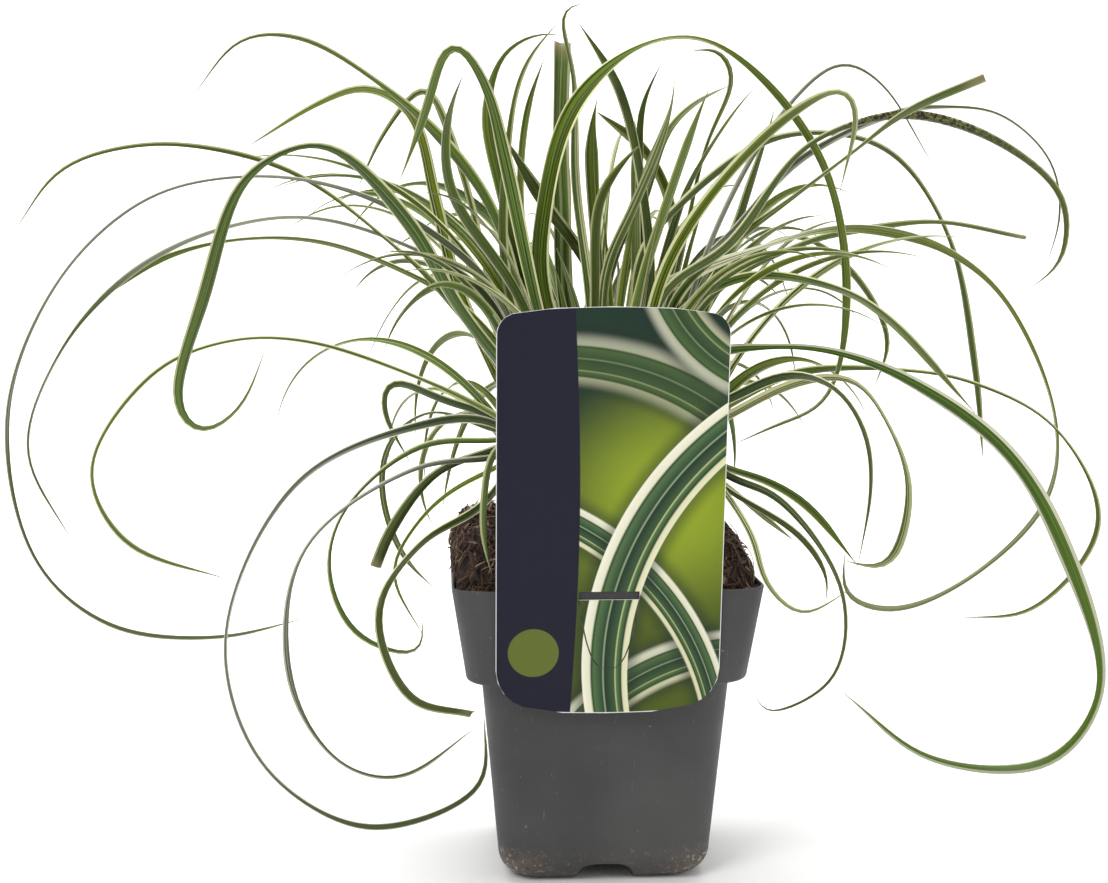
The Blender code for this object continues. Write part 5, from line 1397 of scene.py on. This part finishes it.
class MakePot(bpy.types.Operator):
    """Mould the pot with its lip, collar, rounded foot, channels and drain holes"""
    bl_idname = "sedge.make_pot"
    bl_label = "Pot"

    def execute(self, context):
        rings = [rounded_square(*ring) for ring in pot_profile()]
        points = []
        for x, y, z in (point for ring in rings for point in ring):
            high = max(0.0, (z - COLLAR_FOOT_Z) / (POT_HEIGHT - COLLAR_FOOT_Z)) ** 3
            wave = noise.noise(Vector((x, y, 0.0)) / RIM_WAVE_LENGTH) * RIM_WAVE * high
            points.append((x * (1 - abs(wave) / RIM_HALF), y * (1 - abs(wave) / RIM_HALF), z + wave * 0.6))
        material = pot_material(context.scene.sedge_pot)
        faces = ring_faces(len(rings), len(rings[0]))
        pot = make_piece("nursery_pot", points, faces, [material], "pot_plastic", "pot")
        along_y = notch_rings()
        along_x = [[(y, x, z) for x, y, z in ring[::-1]] for ring in along_y]
        drains = [[round_ring(x * DRAIN_FROM_AXIS, y * DRAIN_FROM_AXIS, DRAIN_RADIUS, z, DRAIN_SIDES)
                   for z in (2 * MM, POT_FLOOR_Z + 2 * MM)] for x, y in ((1, 0), (0, 1), (-1, 0), (0, -1))]
        cut_away(pot, [along_y, along_x, *drains])
        pot.data.shade_smooth()
        pot.data.set_sharp_from_angle(angle=CREASE)
        return {"FINISHED"}


class MakeCompost(bpy.types.Operator):
    """Lay the crumbly ground of the compost"""
    bl_idname = "sedge.make_compost"
    bl_label = "Compost"

    def execute(self, context):
        outline = compost_outline()
        points = []
        for level, z in COMPOST_LEVELS:
            points += [(x * level / COMPOST_HALF, y * level / COMPOST_HALF, z) for x, y in outline]
        for level in range(COMPOST_RINGS):
            scale = max(0.004, 1 - (level / (COMPOST_RINGS - 1)) ** 1.12)
            for x, y in outline:
                px, py = x * scale, y * scale
                points.append((px, py, soil_height(px, py) + crumb(px, py)))
        faces = ring_faces(COMPOST_RINGS + len(COMPOST_LEVELS), len(outline))
        make_piece("compost", points, faces, [peat_material(context.scene.sedge_compost)], "soil", "soil")
        return {"FINISHED"}


class ScatterBark(bpy.types.Operator):
    """Scatter shredded bark and coir over the compost"""
    bl_idname = "sedge.scatter_bark"
    bl_label = "Bark and coir"

    def execute(self, context):
        settings = context.scene.sedge_compost
        draw = random.Random(COMPOST_SEED)
        strands = Batch()
        fibres = Batch()
        made = 0
        while made < settings.strands + settings.fibres:
            # More of it lies further out, and as much on a slope as on the level
            x = draw.uniform(-1, 1)
            y = draw.uniform(-1, 1)
            if (abs(x) ** LITTER_SQUARE + abs(y) ** LITTER_SQUARE) > 1:
                continue
            if draw.random() > LITTER_MIDDLE + (1 - LITTER_MIDDLE) * max(abs(x), abs(y)):
                continue
            x *= COMPOST_HALF * LITTER_EDGE
            y *= COMPOST_HALF * LITTER_EDGE
            place, up = ground(x, y)
            if draw.random() > STEEPEST / up[2]:
                continue
            bulge = LEFT_BULGE * (1 - up[2]) if x < LEFT_EDGE * COMPOST_HALF else 0.0
            place = place + up * draw.uniform(0.0, LITTER_RISE + bulge) * MM
            heading = (draw.gauss(0, 1), draw.gauss(0, 1), draw.gauss(0, 0.5 / up[2]))
            look = (draw.random(), draw.random(), draw.random())
            tipped = unit(up + np.array((draw.gauss(0, TILT), draw.gauss(0, TILT), 0)))
            if made < settings.strands:
                heap = strands
                length = draw.triangular(*STRAND_LENGTH) * MM
                bit = splinter(place, tipped, heading, length, draw.triangular(*STRAND_WIDTH) * MM,
                               draw.uniform(*STRAND_THICK) * MM, draw.uniform(0, STRAND_ARCH) * length, look)
            else:
                heap = fibres
                bit = fibre(place, tipped, heading, draw.triangular(*FIBRE_LENGTH) * MM,
                            draw.uniform(*FIBRE_THICK) * MM, draw.uniform(-FIBRE_BEND, FIBRE_BEND), look)
            if not sticks_through(bit[0]):
                heap.put(*bit)
                made += 1
        material = bark_material(settings)
        strands.make("shredded_bark", [material], "soil")
        fibres.make("coir_fibres", [material], "soil")
        return {"FINISHED"}


class DressLabel(bpy.types.Operator):
    """Print the label"""
    bl_idname = "sedge.dress_label"
    bl_label = "Label"

    def execute(self, context):
        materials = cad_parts["label"].data.materials
        materials.clear()
        materials.append(label_material(context.scene.sedge_label))
        self.cut_tongue()
        return {"FINISHED"}

    def cut_tongue(self):
        """The die-cut line that runs from the slit's ends down to a rounded point, drawn as a thin dark strip of
        painted shadow.
        """
        top = (POT_HEIGHT + GAP + LABEL_THICK - LABEL_FOOT_Z) / math.cos(LABEL_LEAN) - SLIT_HEIGHT
        points = []
        for step in range(TONGUE_STEPS + 1):
            turn = 2 * step / TONGUE_STEPS - 1
            across = SLIT_WIDTH / 2 * math.copysign(abs(turn) ** 0.75, turn)
            along = top - TONGUE_DEPTH * (1 - abs(turn) ** 2.2)
            for side, out in ((-1, 0), (0, 0.6), (1, 0), (0, -0.5)):
                points.append(label_point(across + side * TONGUE_LINE, along, LABEL_THICK + out * TONGUE_LINE))
        faces = ring_faces(TONGUE_STEPS + 1, 4)
        # The thin dark strip along the cut is painted shadow
        make_piece("label_tongue_cut_shadow", points, faces, [cut_line_shadow_material()], "label_plastic")


class GrowShoots(bpy.types.Operator):
    """Grow the nine shoots with all their leaves"""
    bl_idname = "sedge.grow_shoots"
    bl_label = "Leaves"

    def execute(self, context):
        settings = context.scene.sedge_leaves
        crown = Crown()
        place_read_leaves(crown)
        place_fillers(crown)
        finishes = leaf_materials(settings)
        materials = [*finishes.values(), sheath_material(settings)]
        names = list(finishes)
        draw = random.Random(LOOK_SEED)
        for number, (x, y) in enumerate(crown.places):
            batch = Batch()
            batch.put(*fine_sheath(x, y), len(names))
            for name, leaf in crown.blades[number]:
                look = (draw.random(), draw.random(), draw.random())
                drawn = "striped" if draw.random() < STRIPED_SHARE else "green"
                *_, finish, route = LEAVES.get(name, ("", ()))
                blade = fine_blade(leaf, settings, look, [seen for _, _, seen in route])
                batch.put(*blade, names.index(finish or drawn))
            batch.make(f"sedge_shoot_{number}", materials, "leaf", f"leaf_shoot_{number}")
        return {"FINISHED"}


class SetStage(bpy.types.Operator):
    """Set the floor, the lights and the camera"""
    bl_idname = "sedge.set_stage"
    bl_label = "Stage"

    def execute(self, context):
        settings = context.scene.sedge_stage
        context.scene.view_settings.view_transform = "Standard"
        self.lay_floor(settings)
        self.light(context.scene, settings)
        self.aim_camera(context.scene)
        return {"FINISHED"}

    def lay_floor(self, settings):
        """A pale floor that curves up into a wall behind."""
        sweep = [(FLOOR_BACK + SWEEP_RADIUS * math.sin(angle), SWEEP_RADIUS * (1 - math.cos(angle)))
                 for angle in arc(SWEEP_STEPS)]
        profile = [(-FLOOR_FRONT, 0.0), *sweep, (FLOOR_BACK + SWEEP_RADIUS, WALL_HEIGHT)]
        points = [(x, y, z) for x in (-FLOOR_HALF, FLOOR_HALF) for y, z in profile]
        count = len(profile)
        mesh = bpy.data.meshes.new("floor")
        mesh.from_pydata(points, [], [(i, count + i, count + i + 1, i + 1) for i in range(count - 1)])
        mesh.shade_smooth()
        mesh.materials.append(floor_material(settings))
        floor = bpy.data.objects.new("floor", mesh)
        bpy.context.scene.collection.objects.link(floor)

    def light(self, scene, settings):
        """Soft light from all round, with a large lamp at the upper left and weaker ones elsewhere."""
        scene.world = bpy.data.worlds.new("room")
        scene.world.use_nodes = True
        sky = scene.world.node_tree.nodes["Background"].inputs
        sky[0].default_value = (1.0, 1.0, 1.0, 1.0)
        sky[1].default_value = settings.sky
        for name, place, target, size, share in LAMPS:
            lamp = bpy.data.lights.new(name, "AREA")
            lamp.energy = settings.key * share
            lamp.size = size
            self.aim(scene, name, lamp, place, Vector(target) - Vector(place))

    def aim_camera(self, scene):
        """The eye that sees the front picture."""
        lens = bpy.data.cameras.new("eye")
        lens.sensor_width = 36.0
        lens.sensor_fit = "HORIZONTAL"
        lens.lens = PICTURE_FOCUS / (2 * PICTURE_CENTRE[0]) * lens.sensor_width
        lens.clip_start = 0.02
        lens.clip_end = 40.0
        ahead = Vector(AWAY * math.cos(EYE_DIP) - UP * math.sin(EYE_DIP))
        scene.camera = self.aim(scene, "eye", lens, EYE, ahead)

    def aim(self, scene, name, data, place, direction):
        """Put a lamp or the camera at its place, facing a direction."""
        thing = bpy.data.objects.new(name, data)
        thing.location = place
        thing.rotation_euler = direction.to_track_quat("-Z", "Y").to_euler()
        scene.collection.objects.link(thing)
        return thing


OPERATORS = (MakePot, MakeCompost, ScatterBark, DressLabel, GrowShoots, SetStage)
SETTINGS = {
    "sedge_leaves": LeafSettings,
    "sedge_compost": CompostSettings,
    "sedge_pot": PotSettings,
    "sedge_label": LabelSettings,
    "sedge_stage": StageSettings,
}


class SedgePanel(bpy.types.Panel):
    """Lists what makes the potted sedge"""
    bl_idname = "VIEW3D_PT_sedge"
    bl_label = "Potted sedge"
    bl_space_type = "VIEW_3D"
    bl_region_type = "UI"
    bl_category = "Sedge"

    def draw(self, context):
        for name, group in SETTINGS.items():
            box = self.layout.box()
            for key in group.__annotations__:
                box.prop(getattr(context.scene, name), key)
        for operator in OPERATORS:
            self.layout.operator(operator.bl_idname)


def register():
    for group in (*SETTINGS.values(), *OPERATORS, SedgePanel):
        bpy.utils.register_class(group)
    for name, group in SETTINGS.items():
        setattr(bpy.types.Scene, name, bpy.props.PointerProperty(type=group))


def unregister():
    for name in SETTINGS:
        delattr(bpy.types.Scene, name)
    for group in (SedgePanel, *OPERATORS, *SETTINGS.values()):
        bpy.utils.unregister_class(group)


def main():
    register()
    bpy.ops.sedge.make_pot()
    bpy.ops.sedge.make_compost()
    bpy.ops.sedge.scatter_bark()
    bpy.ops.sedge.dress_label()
    bpy.ops.sedge.grow_shoots()
    bpy.ops.sedge.set_stage()


if __name__ == "__main__":
    main()
